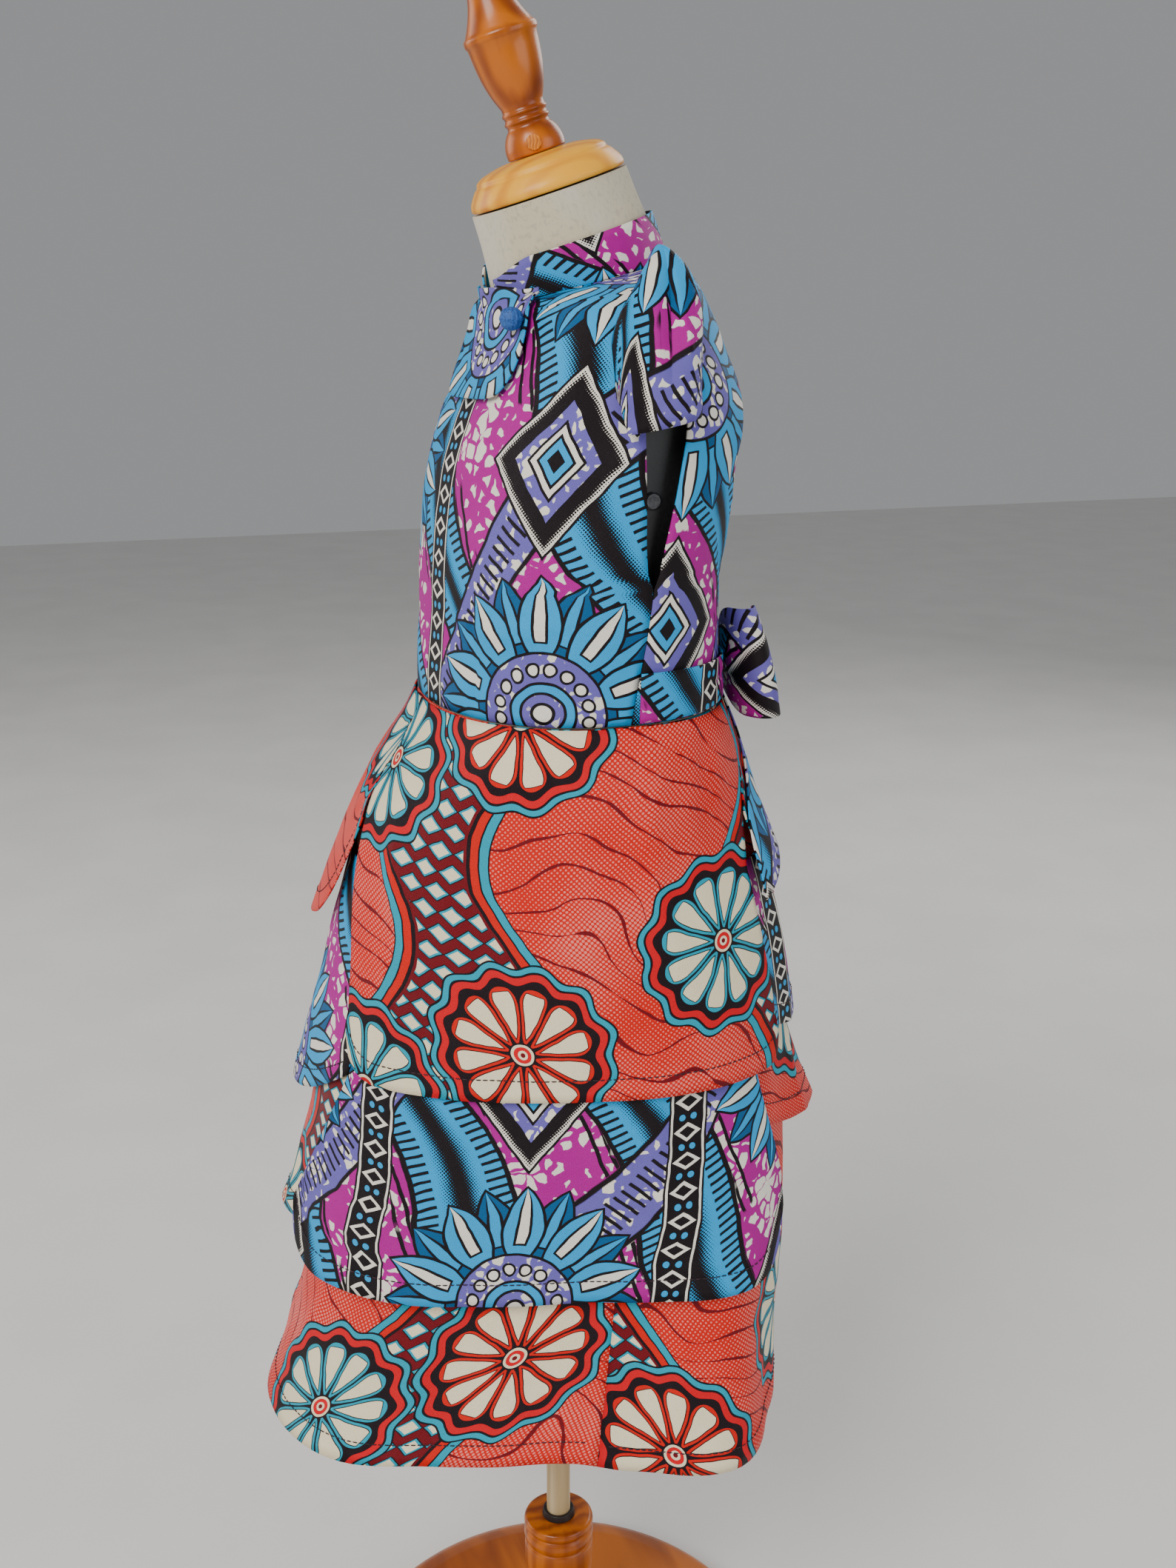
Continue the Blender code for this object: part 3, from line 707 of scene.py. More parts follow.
def printA():
    facts = printAShapes
    cloth = Cloth("printA", inkA, "magenta")
    x, y, lay, rings = cloth.x, cloth.y, cloth.lay, cloth.rings
    soft, comb = 0.004, 0.05   # how soft the bands' edges are, and the hatching's
    # ground: magenta with pale bubbles
    lay("cream", (cloth.cells(124) + cloth.noise(42) * 1.05).above(0.735, 0.03))
    # leaning leaf bands of blue, with dark hatching and dotted shading
    leaf = (x * 0.83 + y * 0.56 + (y * 31.0).wave() * 0.011).stripe(facts["leafPitch"]).size()
    rings(leaf, (0.250, "black"), (0.222, "blue"), soft=soft)
    hatch = (x * 0.42 - y * 0.91).cycle(0.0046).below(0.36, comb)
    lay("black", hatch.both(leaf.above(0.13, soft), leaf.below(0.225, soft)))
    dot = cloth.dots(facts["dotPitch"])
    lay("black", dot.below(leaf.line(-7.5, 0.86, clamp=True), 0.08).both(leaf.below(0.13, soft)))
    # second set of bands, lilac with pale mottling
    other = (x * 0.80 - y * 0.60 + (x * 36.0).wave() * 0.009 + 0.04061).stripe(facts["lilacPitch"]).size()
    lilac = cloth.blend("lilac", "cream", (cloth.cells(150) + cloth.noise(64) * 1.1).above(0.80, 0.04))
    rings(other, (0.118, "black"), (0.100, lilac), soft=soft)
    lay("black", (x * 0.60 + y * 0.80).cycle(0.0052).below(0.34, comb).both(other.below(0.055, soft)))
    # short strokes that run from the leaf bands into the magenta
    strokes = (x * 0.91 + y * 0.42).cycle(0.0062).below(0.34, comb).both(leaf.above(0.25, soft))
    strokes = strokes.both(leaf.below(0.34, soft), other.above(0.118, soft))
    lay("black", strokes.both(cloth.noise(19).above(0.48, 0.02)))
    # upright zigzag on a black band, with a dot in each bay
    bandX = cloth.halfDrop(facts["repeat"])[0].size() - facts["repeat"][0] / 2
    lay("black", bandX.size().below(facts["band"]))
    lay("cream", (bandX.size() - facts["band"] * 0.84).size().below(0.0006))
    long, swing = facts["zigzag"]
    tooth = (y.stripe(long).size() * 4 - 1) * swing
    lay("cream", (bandX - tooth).size().below(0.0015))
    for side, bay in ((-0.5, y + long / 2), (0.5, y)):
        lay("blue", (bandX - side * swing).far(bay.stripe(long) * long).below(0.0017))
    # nested lozenges
    mx, my = cloth.halfDrop(facts["repeat"], facts["lozengeAt"])
    across, high = facts["lozenge"]
    lozenge = mx.size() / across + my.size() / high
    rings(lozenge, (1.05, "black"), (1.0, "cream"))
    lay("black", dot.below(lozenge.line(-4.0, 4.1, clamp=True), 0.08).both(lozenge.below(1.0)))
    rings(lozenge, (0.70, "black"), (0.64, lilac), (0.44, "black"), (0.39, "cream"), (0.30, "black"),
          (0.25, "blue"), (0.13, "black"))
    # flowers of pointed petals, with a second row showing behind the first
    dx, dy = cloth.halfDrop(facts["repeat"], facts["flowerAt"])
    r, turn = dx.far(dy), dy.sum("ARCTAN2", dx)
    step = 2 * pi / facts["petals"]
    for behind, fill, heart in ((0.5, "deepBlue", "blue"), (0.0, "blue", "cream")):
        inPetal = (turn + behind * step).stripe(step) * step
        px = (r * inPetal.sum("COSINE") - facts["petalMiddle"]) / facts["petalLong"]
        py = (r * inPetal.wave()).size()
        half = (px * px).line(-facts["petalWide"], facts["petalWide"])
        lay("black", py.below(half + facts["outline"]).both(px.size().below(1.12)))
        lay(fill, py.below(half))
        lay("black", py.below(half * 0.42).both(px.above(-0.45)))
        lay(heart, py.below(half * 0.26).both(px.above(-0.40)))
    rings(r, (facts["disc"] + 0.0014, "black"), (facts["disc"], lilac))
    step = 2 * pi / facts["beads"]
    bead = (turn.stripe(step) * facts["beadRing"] * step).far(r - facts["beadRing"])
    rings(bead, (0.0036, "black"), (0.0024, "cream"))
    rings(r, (0.0160, "black"), (0.0146, "blue"), (0.0110, "black"), (0.0096, lilac), (0.0058, "black"),
          (0.0042, "cream"))
    return cloth.finish(0.52)


inkB = {
    "coral": (214, 62, 58),
    "pale": (244, 150, 142),
    "cream": (240, 228, 198),
    "turquoise": (22, 158, 184),
    "red": (214, 40, 48),
    "darkRed": (112, 12, 24),
    "dark": (22, 7, 15),
}

printBShapes = {
    "repeat": (0.192, 0.168),
    "wheels": (((0.040, 0.046), "turquoise"), ((0.147, 0.092), "coral")),   # shift and rim
    "wheel": 0.0345,
    "petals": 12,
    "scallop": 0.0019,
    "ribbonSwing": 0.020,
    "ribbon": ((0.0, 0.0062, "dark"), (-0.0032, 0.0022, "turquoise"), (0.0020, 0.0021, "coral")),
    "meshPitch": 0.0019,
    "veinPitch": 0.0165,
    "gemPitch": (0.0142, 0.0104),
    "gem": (0.0052, 0.0038),
    "bed": 0.0078,                # how far inside the ribbons the lozenges keep
}


def sunWheel(cloth, x, y, rim):
    facts = printBShapes
    r, turn = x.far(y), y.sum("ARCTAN2", x)
    size, step = facts["wheel"], 2 * pi / facts["petals"]
    scallop = r + (turn * facts["petals"]).sum("COSINE") * facts["scallop"]
    cloth.rings(scallop, (size + 0.0120, "dark"), (size + 0.0110, "turquoise"), (size + 0.0082, "dark"),
                (size + 0.0070, "red"), (size + 0.0034, "dark"))
    petal = turn.stripe(step).size() * step * r
    along = (r - 0.0205) / 0.0150
    swell = along.both(along, along, along).line(-1, 1, clamp=True).sum("SQRT")
    half = r * (0.485 * step) * swell
    for ink, inset, inner, outer in ((rim, 0.0003, 0.0055, 0.001), ("dark", 0.0015, 0.0075, -0.0012),
                                     ("cream", 0.0020, 0.0085, -0.0016)):
        cloth.lay(ink, petal.below(half - inset).both(r.below(size + outer), r.above(inner)))
    cloth.rings(r, (0.0066, "dark"), (0.0056, "cream"), (0.0043, "red"), (0.0024, "cream"),
                (0.0012, "darkRed"))


def printB():
    facts = printBShapes
    cloth = Cloth("printB", inkB, "coral")
    x, y, lay = cloth.x, cloth.y, cloth.lay
    tall, swing = facts["repeat"][1], facts["ribbonSwing"]
    # fine pale mesh of dots, and thin wandering veins
    lay("pale", cloth.dots(facts["meshPitch"]).below(cloth.noise(16).line(0.55, 0.02), 0.10))
    drift = cloth.noise(13, 1.0) * 0.085
    veins = (y + x * 0.35 + drift + (x * 26.0).wave() * 0.009).stripe(facts["veinPitch"]).size()
    lay("darkRed", veins.below((cloth.noise(45) - 0.24) * 0.15, 0.012))
    # ribbons that sway down the cloth, with a bed of small lozenges between them
    inX, inY = cloth.halfDrop(facts["repeat"])
    phase = inY * (2 * pi / tall)
    left = inX - phase.wave() * swing + 0.029
    right = inX - (phase + 1.3).wave() * (swing * 0.8) - 0.046
    lay("darkRed", left.above(0.0).both(right.below(0.0)))
    gemX, gemY = facts["gemPitch"]
    row = (y / gemY).sum("FLOOR")
    spotX = (x + row * (gemX / 2)).stripe(gemX) * gemX
    spotY = y.stripe(gemY) * gemY
    spot = (spotX / facts["gem"][0]).size() + (spotY / facts["gem"][1]).size()
    inside = left.above(facts["bed"]).both(right.below(-facts["bed"]))
    for limit, ink in ((1.42, "dark"), (1.25, "turquoise"), (0.95, "cream")):
        lay(ink, spot.below(limit, 0.04).both(inside))
    for edge, way in ((left, 1), (right, -1)):
        for middle, half, ink in facts["ribbon"]:
            lay(ink, (edge - middle * way).size().below(half))
    for shift, rim in facts["wheels"]:
        sunWheel(cloth, *cloth.halfDrop(facts["repeat"], shift), rim)
    return cloth.finish(0.50)


# The other finishes

def newLook(name):
    look = bpy.data.materials.new(name)
    look.use_nodes = True
    return look, look.node_tree, look.node_tree.nodes["Principled BSDF"]


def bumpOf(tree, height, strength, distance):
    return inkOf(tree, "Bump", {"Strength": strength, "Distance": distance, "Height": height})


def rampOf(tree, value, *steps):
    ramp = inkOf(tree, "ValToRGB", {0: value})
    for element, (colour, at) in zip(ramp.socket.node.color_ramp.elements, steps):
        element.position = at
        element.color = (*paint(*colour), 1)
    return ramp


def grainedLook(name, light, dark, roughness, stretch, scale, coat):
    # wood: long streaks along the turning's axis, with faint year rings and small pores
    look, tree, shader = newLook(name)
    place = inkOf(tree, "TexCoord", {}, "Object")
    turn = inkOf(tree, "Mapping", {"Scale": stretch, "Vector": place})
    streaks = inkOf(tree, "TexNoise", {"Scale": scale, "Detail": 5, "Distortion": 0.6, "Vector": turn})
    waves = {"Scale": scale * 0.55, "Distortion": 5.5, "Detail": 3, "Detail Scale": 1.4, "Vector": turn}
    rings = inkOf(tree, "TexWave", waves, "Fac", wave_type="BANDS", bands_direction="X")
    grain = streaks * 0.75 + rings * 0.35
    feed(tree, shader, {
        "Base Color": rampOf(tree, grain, (dark, 0.28), (light, 0.70)),
        "Roughness": streaks * 0.18 + (roughness - 0.09),
        "Normal": bumpOf(tree, grain, 0.25, 0.0004),
        "Specular IOR Level": 0.3,
        "Coat Weight": coat,
        "Coat Roughness": 0.18,
    })
    return look


def speckledLook(name, colour, second, roughness, scale, strength, distance, metal=0.0):
    # small mottling for plastic, metal, thread and cord
    look, tree, shader = newLook(name)
    place = inkOf(tree, "TexCoord", {}, "Object")
    grain = inkOf(tree, "TexNoise", {"Scale": scale, "Detail": 4, "Vector": place})
    feed(tree, shader, {
        "Base Color": rampOf(tree, grain, (second, 0.35), (colour, 0.65)),
        "Roughness": grain * 0.2 + (roughness - 0.1),
        "Normal": bumpOf(tree, grain, strength, distance),
        "Metallic": metal,
    })
    return look


def linenLook():
    # the form's cover: pale knit with a fine weave and faint soiling
    inks = {"linen": (198, 188, 160), "slub": (168, 160, 140), "worn": (205, 199, 184)}
    cloth = Cloth("neckCloth", inks, "linen")
    slubs = cloth.noise(320, 3.0)
    cloth.lay("slub", (slubs - 0.5).above(0.08, 0.12) * 0.55)
    cloth.lay("worn", cloth.noise(24).above(0.52, 0.2) * 0.5)
    feed(cloth.tree, cloth.shader, {
        "Base Color": cloth.colour,
        "Roughness": slubs * 0.12 + 0.80,
        "Normal": bumpOf(cloth.tree, cloth.weave(0.0011) * 0.6 + slubs, 0.45, 0.0003),
        "Sheen Weight": 0.2,
    })
    return cloth.look


woods = {
    # light and dark colour, roughness, stretch of the grain, its scale, coat of varnish
    "pine": ((236, 168, 36), (208, 126, 16), 0.40, (10, 1.2, 10), 5.0, 0.12),
    "varnishedWood": ((184, 96, 0), (126, 54, 0), 0.34, (12, 12, 1.4), 5.0, 0.25),
    "plugWood": ((206, 122, 14), (158, 80, 6), 0.34, (40, 40, 40), 9.0, 0.25),
    "paleWood": ((206, 186, 146), (176, 150, 108), 0.48, (14, 14, 1.2), 6.0, 0.0),
    "baseWood": ((186, 98, 4), (132, 60, 2), 0.34, (1.2, 9, 9), 4.0, 0.25),
}

speckled = {
    # colour, second colour, roughness, scale, strength and depth of the bumps, metal
    "thread": ((58, 28, 40), (24, 12, 22), 0.7, 900, 0.3, 0.0002),
    "button": ((40, 100, 176), (18, 58, 120), 0.62, 1400, 0.5, 0.0003),
    "plate": ((28, 27, 28), (18, 18, 19), 0.42, 700, 0.2, 0.0002),
    "screw": ((88, 88, 90), (60, 60, 62), 0.38, 500, 0.2, 0.0002, 0.8),
    "ferrule": ((34, 26, 26), (20, 16, 16), 0.42, 600, 0.2, 0.0002),
    "floor": ((226, 225, 222), (221, 220, 217), 0.75, 6, 0.05, 0.0005),
}

slots = {
    "button": "button_cloth",
    "plate": "arm_plate",
    "screw": "arm_screw",
    "plugWood": "varnished_wood",
    "baseWood": "varnished_wood",
}
looks = {"printA": printA(), "printB": printB(), "neckCloth": linenLook()}
looks.update({name: grainedLook(name, *facts) for name, facts in woods.items()})
looks.update({name: speckledLook(name, *facts) for name, facts in speckled.items()})
print("scene: prints and finishes")


# Bodice

bodice = {
    "spacing": 0.0038,
    "out": 0.0013,            # room under the cloth for its troughs
    "cutFront": (0.303, 0.166, 0),
    "cutBack": (0.035, -0.110, 0),
    "creasesFront": (
        # all in mm: s0, t0, s1, t1 from the middle and the top, bow, width, height
        (20, 150, 85, 188, 4, 6, -1.5),
        (50, 160, 105, 176, 3, 5, 1.4),
        (52, 205, 50, 150, 0, 3.5, -1.9),
        (-52, 205, -50, 150, 0, 3.5, -1.9),
        (75, 205, 88, 165, 2, 4, 1.2),
        (-90, 188, -30, 160, -4, 6, -1.4),
        (45, 70, 85, 110, 4, 7, 1.2),
        (65, 60, 92, 90, 3, 6, -1.4),
        (-85, 90, -40, 60, -4, 7, 1.2),
    ),
    "creasesBack": (
        (-80, 150, -20, 180, 4, 6, -1.6),
        (80, 150, 15, 182, -4, 6, -1.6),
        (-70, 120, -30, 165, 4, 6, 1.5),
        (70, 118, 28, 160, -4, 6, 1.5),
        (0, 30, 0, 180, 0, 2, -1.4),
        (50, 60, 80, 110, 3, 7, 1.4),
        (-50, 60, -80, 110, -3, 7, 1.4),
    ),
}


def bodiceSurface(front):
    rings = len(bodiceEdges) - 1

    def surface(u, v):
        ring = v * rings
        low = min(int(ring), rings - 1)
        share = ring - low
        way, frontY, backY = (mix(a, b, share) for a, b in zip(bodiceEdges[low], bodiceEdges[low + 1]))
        if front:
            left = edgeAngle(way, frontY, -fit["gap"] / 2)
            start, end = -pi - left, left
        else:
            left = edgeAngle(way, backY, fit["gap"] / 2)
            start, end = left, pi - left
        return torso(mix(start, end, u), way)

    return surface


def sewBodice():
    for name, front in (("Front", True), ("Back", False)):
        clothPanel("bodice" + name, "A", bodiceSurface(front), bodice["spacing"], bodice["cut" + name],
                   creases=bodice["creases" + name], out=bodice["out"], grain="hem")


# Collar, front flap and ball button

neckline = {
    "collarCut": (0.150, 0.020, 0),
    "collarEnds": (radians(-79), radians(265)),
    "collarWays": (0.2392, 0.2612),
    "standsOff": 0.0007,
    "dip": 0.0070,                # how much lower the collar is at its ends
    "flapCut": (0.063, 0.185, 12),
    "flapEnds": (radians(-118), radians(-39)),
    "flapWays": (0.150, 0.2325),
    "roundUp": 0.050,
    "tip": radians(-84),
    "tipRise": 0.016,
    "flapOut": 0.0038,
    "flapBend": (0.226, 0.252),   # between these ways it is stretched straight over the neck's root
}


def sewCollar():
    low, high = neckline["collarWays"]

    def surface(u, v):
        ends = ease((0.11 - u) / 0.11) + 1.5 * ease((u - 0.90) / 0.10)
        way = mix(low, high - neckline["dip"] * ends, v)
        return movedOut(torso, mix(*neckline["collarEnds"], u), way, neckline["standsOff"] * v)

    clothPanel("standCollar", "A", surface, 0.0035, neckline["collarCut"], held="stretched", cad=["collar"],
               calm=0.4)


def sewFlap():
    first, last = neckline["flapEnds"]
    foot, head = neckline["flapWays"]
    bendLow, bendHigh = neckline["flapBend"]

    def surface(u, v):
        angle = mix(first, last, u)
        bottom = foot + neckline["roundUp"] * abs(2 * u - 1) ** 7
        top = head + neckline["tipRise"] * ease((last - angle) / (last - neckline["tip"]))
        way = mix(bottom, top, v)
        if way < bendLow:
            return movedOut(torso, angle, way, neckline["flapOut"])
        below, above = (movedOut(torso, angle, bend, neckline["flapOut"]) for bend in neckline["flapBend"])
        return below.lerp(above, (way - bendLow) / (bendHigh - bendLow))

    clothPanel("frontFlap", "A", surface, 0.0028, neckline["flapCut"], calm=0.5, hem=True, stitch=False,
               grain="top")


button = {"at": (radians(-44), 0.193), "out": 0.0098, "radius": 0.0056, "strands": 6, "lean": 5}


def buttonStrands(x, y, z):
    # a ball knotted from blue cord: raised strands in a basket weave
    around = atan2(y, x) * button["strands"]
    strand = sin(around + z * button["lean"]) * sin(around - z * button["lean"])
    return 0.965 + 0.055 * abs(strand) ** 0.7 * copysign(1, strand) * sqrt(max(0.0, 1 - z * z))


# Cap sleeves

sleeve = {
    "spacing": 0.0030,
    "cuts": ((0.110, 0.300, 20), (0.240, 0.140, -20)),
    "highEnd": (0.208, 0.0205),   # way up and y at the shoulder
    "lowEnd": 0.152,
    "ends": (-0.0005, 0.0370),
    "hemHeights": (0.783, 0.790),
    "hemEnds": (0.0015, 0.0350),
    "outer": 0.1030,
    "puff": 0.0080,
    "standsUp": 0.047,
    "creases": (
        (0, 4, 10, 55, 3, 5, 1.2),
        (-25, 6, -12, 50, -3, 5, -1.3),
        (28, 8, 22, 48, 2, 5, -1.2),
        (-45, 10, -40, 40, 2, 4, 0.9),
        (48, 12, 42, 42, 2, 4, 0.9),
    ),
}


def sleeveSurface(u, v):
    arm = abs(2 * u - 1)
    way = mix(sleeve["highEnd"][0], sleeve["lowEnd"], arm**1.4)
    y = mix(sleeve["highEnd"][1], sleeve["ends"][u >= 0.5], ease(arm * 1.5))
    seam = movedOut(torso, edgeAngle(way, y), way, fit["wall"] + 2 * fit["gap"])
    bulge = sin(pi * u)
    hem = Vector((sleeve["outer"] + sleeve["puff"] * bulge, mix(*sleeve["hemEnds"], u),
                  mix(*sleeve["hemHeights"], u)))
    high = seam + Vector((0.002 + 0.014 * bulge, 0.006 * bulge, sleeve["standsUp"] * bulge**0.8))
    return seam * v**2 + high * 2 * (1 - v) * v + hem * (1 - v) ** 2


# Sash and bow

sash = {
    "spacing": 0.0030,
    "loopSpacing": 0.0026,
    "bandCuts": ((0.180, 0.035, 0), (0.060, 0.260, 0)),
    "loopCuts": ((0.040, 0.040, 90), (0.200, 0.240, 90)),
    "tailCuts": ((0.100, 0.190, 0), (0.260, 0.020, 0)),
    "tall": (0.0245, 0.0190),
    "middle": 0.0135,
    "out": 0.0031,
    "knotY": 0.0911,
    "knotHeight": 0.6605,
    "knotSize": (0.0105, 0.0085, 0.0125),
    "loopMiddle": 0.0364,
    "loopHalfLong": 0.0275,
    "loopHalfDeep": 0.0105,
    "loopNarrow": 0.0100,
    "loopWide": 0.0285,
    "tailLength": 0.084,
    "tailSlant": 0.014,
    "tailSpread": 0.0045,
    "tailInner": (1.5, 3.0),      # degrees from the middle, at its top and its foot
    "tailOuter": (9.0, 27.0),
    "loopCreases": (
        (-50, 20, -12, 18, 2, 3.2, -1.2),
        (50, 22, 12, 26, 2, 3.2, -1.2),
        (-52, 32, -15, 40, 2, 3, 0.9),
        (52, 30, 15, 12, 2, 3, 0.9),
    ),
    "tailCreases": (
        (0, 2, 4, 50, 2, 3.5, -1),
        (-4, 4, -12, 60, 2, 3.5, 0.9),
    ),
    "bandCreases": (
        (-55, 9, 55, 11, 1, 2.2, -0.7),
        (-10, 15, 60, 17, 1, 2, 0.5),
    ),
}


def sashSurface(u, v):
    way = sash["middle"] + (v - 0.5) * mix(*sash["tall"], ease(u))
    return movedOut(torso, mix(radians(3), pi / 2, u), way, sash["out"])


def loopSurface(u, v):
    turn, across = radians(mix(-158, 158, u)), 2 * v - 1
    rounded = sash["loopHalfLong"] * (1 - 0.22 * across**2 * max(0.0, cos(turn)))
    x = sash["loopMiddle"] + rounded * cos(turn)
    share = ease((x - 0.010) / 0.040)
    deep = sash["loopHalfDeep"] * (1 - 0.3 * share * max(0.0, across))
    y = sash["knotY"] + 0.0052 + deep * sin(turn) - share * (0.0055 + 0.0070 * across)
    z = sash["knotHeight"] + 0.004 * share + across * mix(sash["loopNarrow"], sash["loopWide"], share)
    return Vector((x, y, z))


def sewTail(name, side, cut):
    def surface(u, v):
        t = 1 - v
        far = u if side < 0 else 1 - u
        drop = mix(0.0005, sash["tailLength"] + sash["tailSlant"] * far, t)
        inner, outer = mix(*sash["tailInner"], t), mix(*sash["tailOuter"], ease(1.3 * t))
        out = layerLift(3, 0.0, drop) + fit["wall"] + 2 * fit["gap"] + sash["tailSpread"] * t * t
        return skirt(90 - side * mix(inner, outer, far), drop, out)

    clothPanel(name, "A", surface, sash["spacing"], cut, creases=sash["tailCreases"])


def knotPleats(x, y, z):
    pleat = 0.05 * sin(z * 9 + 1.5 * x) + 0.03 * sin(z * 17 + 3)
    return 0.96 + pleat * max(0.0, 1 - abs(z) ** 3)


# Skirt: the base and its petals

skirtBase = {
    "seam": 20,
    "top": 0.0012,
    "corner": 46,
    "sag": 0.006,
    "sagHalfWidth": 30,
    "spacing": 0.0055,
    "frontCut": (0.140, 0.330, 0),
    "backCut": (0.290, 0.120, 0),
    "creases": (
        (-150, 372, -135, 318, 4, 12, 3),
        (-80, 380, -75, 320, 3, 12, -2.5),
        (20, 380, 10, 320, 3, 12, 1.8),
        (60, 382, 74, 322, 3, 8, 2),
        (110, 380, 100, 320, 3, 10, -2),
        (150, 375, 138, 322, 3, 8, 2.2),
    ),
}


def layerLift(layer, top, drop):
    return mix(0.0022, layer * fit["layer"], ease((drop - top) / 0.05))


def sewSkirtBase(name, start, end, cut):
    def surface(u, v):
        angle = mix(start, end, u)
        off = abs((angle - skirtBase["corner"] + 180) % 360 - 180)
        near = max(0.0, cos(radians(min(off / skirtBase["sagHalfWidth"], 1) * 90)))
        return skirt(angle, mix(skirtBase["top"], fit["skirtLength"] + skirtBase["sag"] * near, 1 - v))

    clothPanel(name, "B", surface, skirtBase["spacing"], cut, creases=skirtBase["creases"], hem=True)


sidePetals = {
    # print, layer, top, hem, front line, back line, corner radii, flares, cuts of the left and right
    "tier1": ("B", 3, 0.0012, 0.187, "front1", "back1", (0.022, 0.014), (0.0030, 0.0030),
              (0.160, 0.070, 0), (0.060, 0.240, 0)),
    "tier2": ("A", 2, 0.120, 0.297, "front2", "back2", (0.030, 0.030), (0.0110, 0.0040),
              (0.245, 0.235, 0), (0.090, 0.150, 0)),
}

middlePetals = {
    # print, facing, layer, top, hem, rise, line, inset, flare, window, where it is cut
    "tier1Front": ("B", -90, 3, 0.0012, 0.122, 0.065, "front1", 0.15, 0.0110, 1.00, (0.020, 0.050, 0)),
    "tier1Back": ("B", 90, 3, 0.0012, 0.092, 0.036, "back1", 0.15, 0.0010, 1.00, (0.135, 0.120, 0)),
    "tier2Front": ("A", -90, 2, 0.080, 0.219, 0.030, "front2", 0.40, 0.0120, 0.72, (0.080, 0.060, 0)),
    "tier2Back": ("A", 90, 2, 0.080, 0.180, 0.022, "back2", 0.40, 0.0050, 0.62, (0.190, 0.090, 0)),
    "tier3Front": ("B", -90, 1, 0.190, 0.297, 0.030, "wide3", 0.00, 0.0190, 0.52, (0.240, 0.060, 0)),
    "tier3Back": ("B", 90, 1, 0.160, 0.232, 0.020, "wide3", 0.00, 0.0160, 0.60, (0.070, 0.210, 0)),
}

petalFeel = {
    "spacing": 0.0050,
    "seam": 0.15,             # degrees kept free at each edge
    "sideCreases": (
        (-85, 20, -70, 150, 4, 10, 1.8),
        (-30, 50, -35, 180, 3, 12, -1.8),
        (45, 10, 60, 120, 4, 9, 1.9),
        (75, 15, 95, 110, 3, 7, -1.9),
        (20, 100, 85, 135, 4, 8, 1.4),
    ),
    "middleCreases": (
        (-20, 20, -26, 110, 3, 8, 1.6),
        (18, 30, 26, 100, 3, 8, -1.6),
    ),
}


def sewSidePetal(name, side, cut):
    kind, layer, top, hem, frontLine, backLine, corners, flares, *_ = sidePetals[name[:5]]
    seam = petalFeel["seam"]

    def surface(u, v):
        t = u - 0.075 * sin(2 * pi * u)
        t = t if side > 0 else 1 - t
        edge = min(t, 1 - t) * 0.27
        radius = mix(*corners, t)
        corner = radius - sqrt(max(0.0, radius**2 - max(0.0, radius - edge) ** 2))
        drop = mix(top, hem - corner, 1 - v)
        start = -90 + straightAt(tierLines[frontLine], drop) + seam
        end = 90 - straightAt(tierLines[backLine], drop) - seam
        angle = mix(start, end, t)
        out = layerLift(layer, top, drop) + mix(*flares, ease(t * 1.5)) * (1 - v) ** 2
        return skirt(angle if side > 0 else 180 - angle, drop, out)

    clothPanel(name, kind, surface, petalFeel["spacing"], cut, creases=petalFeel["sideCreases"], hem=True,
               grain="top")


def sewMiddlePetal(name):
    kind, facing, layer, top, hem, rise, line, inset, flare, window, cut = middlePetals[name]

    def surface(u, v):
        share = 2 * u - 1
        drop = mix(top, hem - rise * abs(share) ** 2.2, 1 - v)
        half = straightAt(tierLines[line], drop) - inset
        bulge = max(0.0, 1 - (share / window) ** 2) ** 1.5
        down = (1 - v) * (1 - 0.35 * abs(share))
        out = layerLift(layer, top, drop) + flare * bulge * down**1.6 + 0.0012 * (1 - v) ** 2
        return skirt(facing + share * half, drop, out)

    clothPanel(name, kind, surface, petalFeel["spacing"], cut, creases=petalFeel["middleCreases"], hem=True,
               grain="top")


# The dress form and its stand

formSizes = {
    "torsoWays": (-0.047, 0.285),
    "around": 0.40,               # of the cover's print
    "armFlat": 0.0868,
    "armCentre": (0.0185, 0.752),
    "armPlate": (0.023, 0.051, 0.0016),
    "armScrew": (0.0042, 0.0042, 0.0016),
    "neckLean": radians(19),
    "neckTop": (-0.001, 0.893),
}


def coverTorso():
    around, up = 112, 96
    bm = bmesh.new()
    uv = bm.loops.layers.uv.new("clothMetres")
    rings, where = [], {}
    for j in range(up + 1):
        way = mix(*formSizes["torsoWays"], j / up)
        inside = mix(0.0009, 0.0015, ease((way - 0.225) / 0.012))
        rings.append([])
        for i in range(around):
            point = movedOut(torso, 2 * pi * i / around, way, -inside)
            if abs(point.x) > formSizes["armFlat"]:
                point.x = copysign(formSizes["armFlat"], point.x)
            rings[-1].append(bm.verts.new(point))
            where[rings[-1][-1]] = (i / around, way)
    joinRings(bm, rings)
    for face in bm.faces:
        closing = any(where[vert][0] > 0.99 for vert in face.verts)
        for loop in face.loops:
            share, way = where[loop.vert]
            loop[uv].uv = ((share or float(closing)) * formSizes["around"], way)
    makePiece("formTorso", bm, "neckCloth", 60)


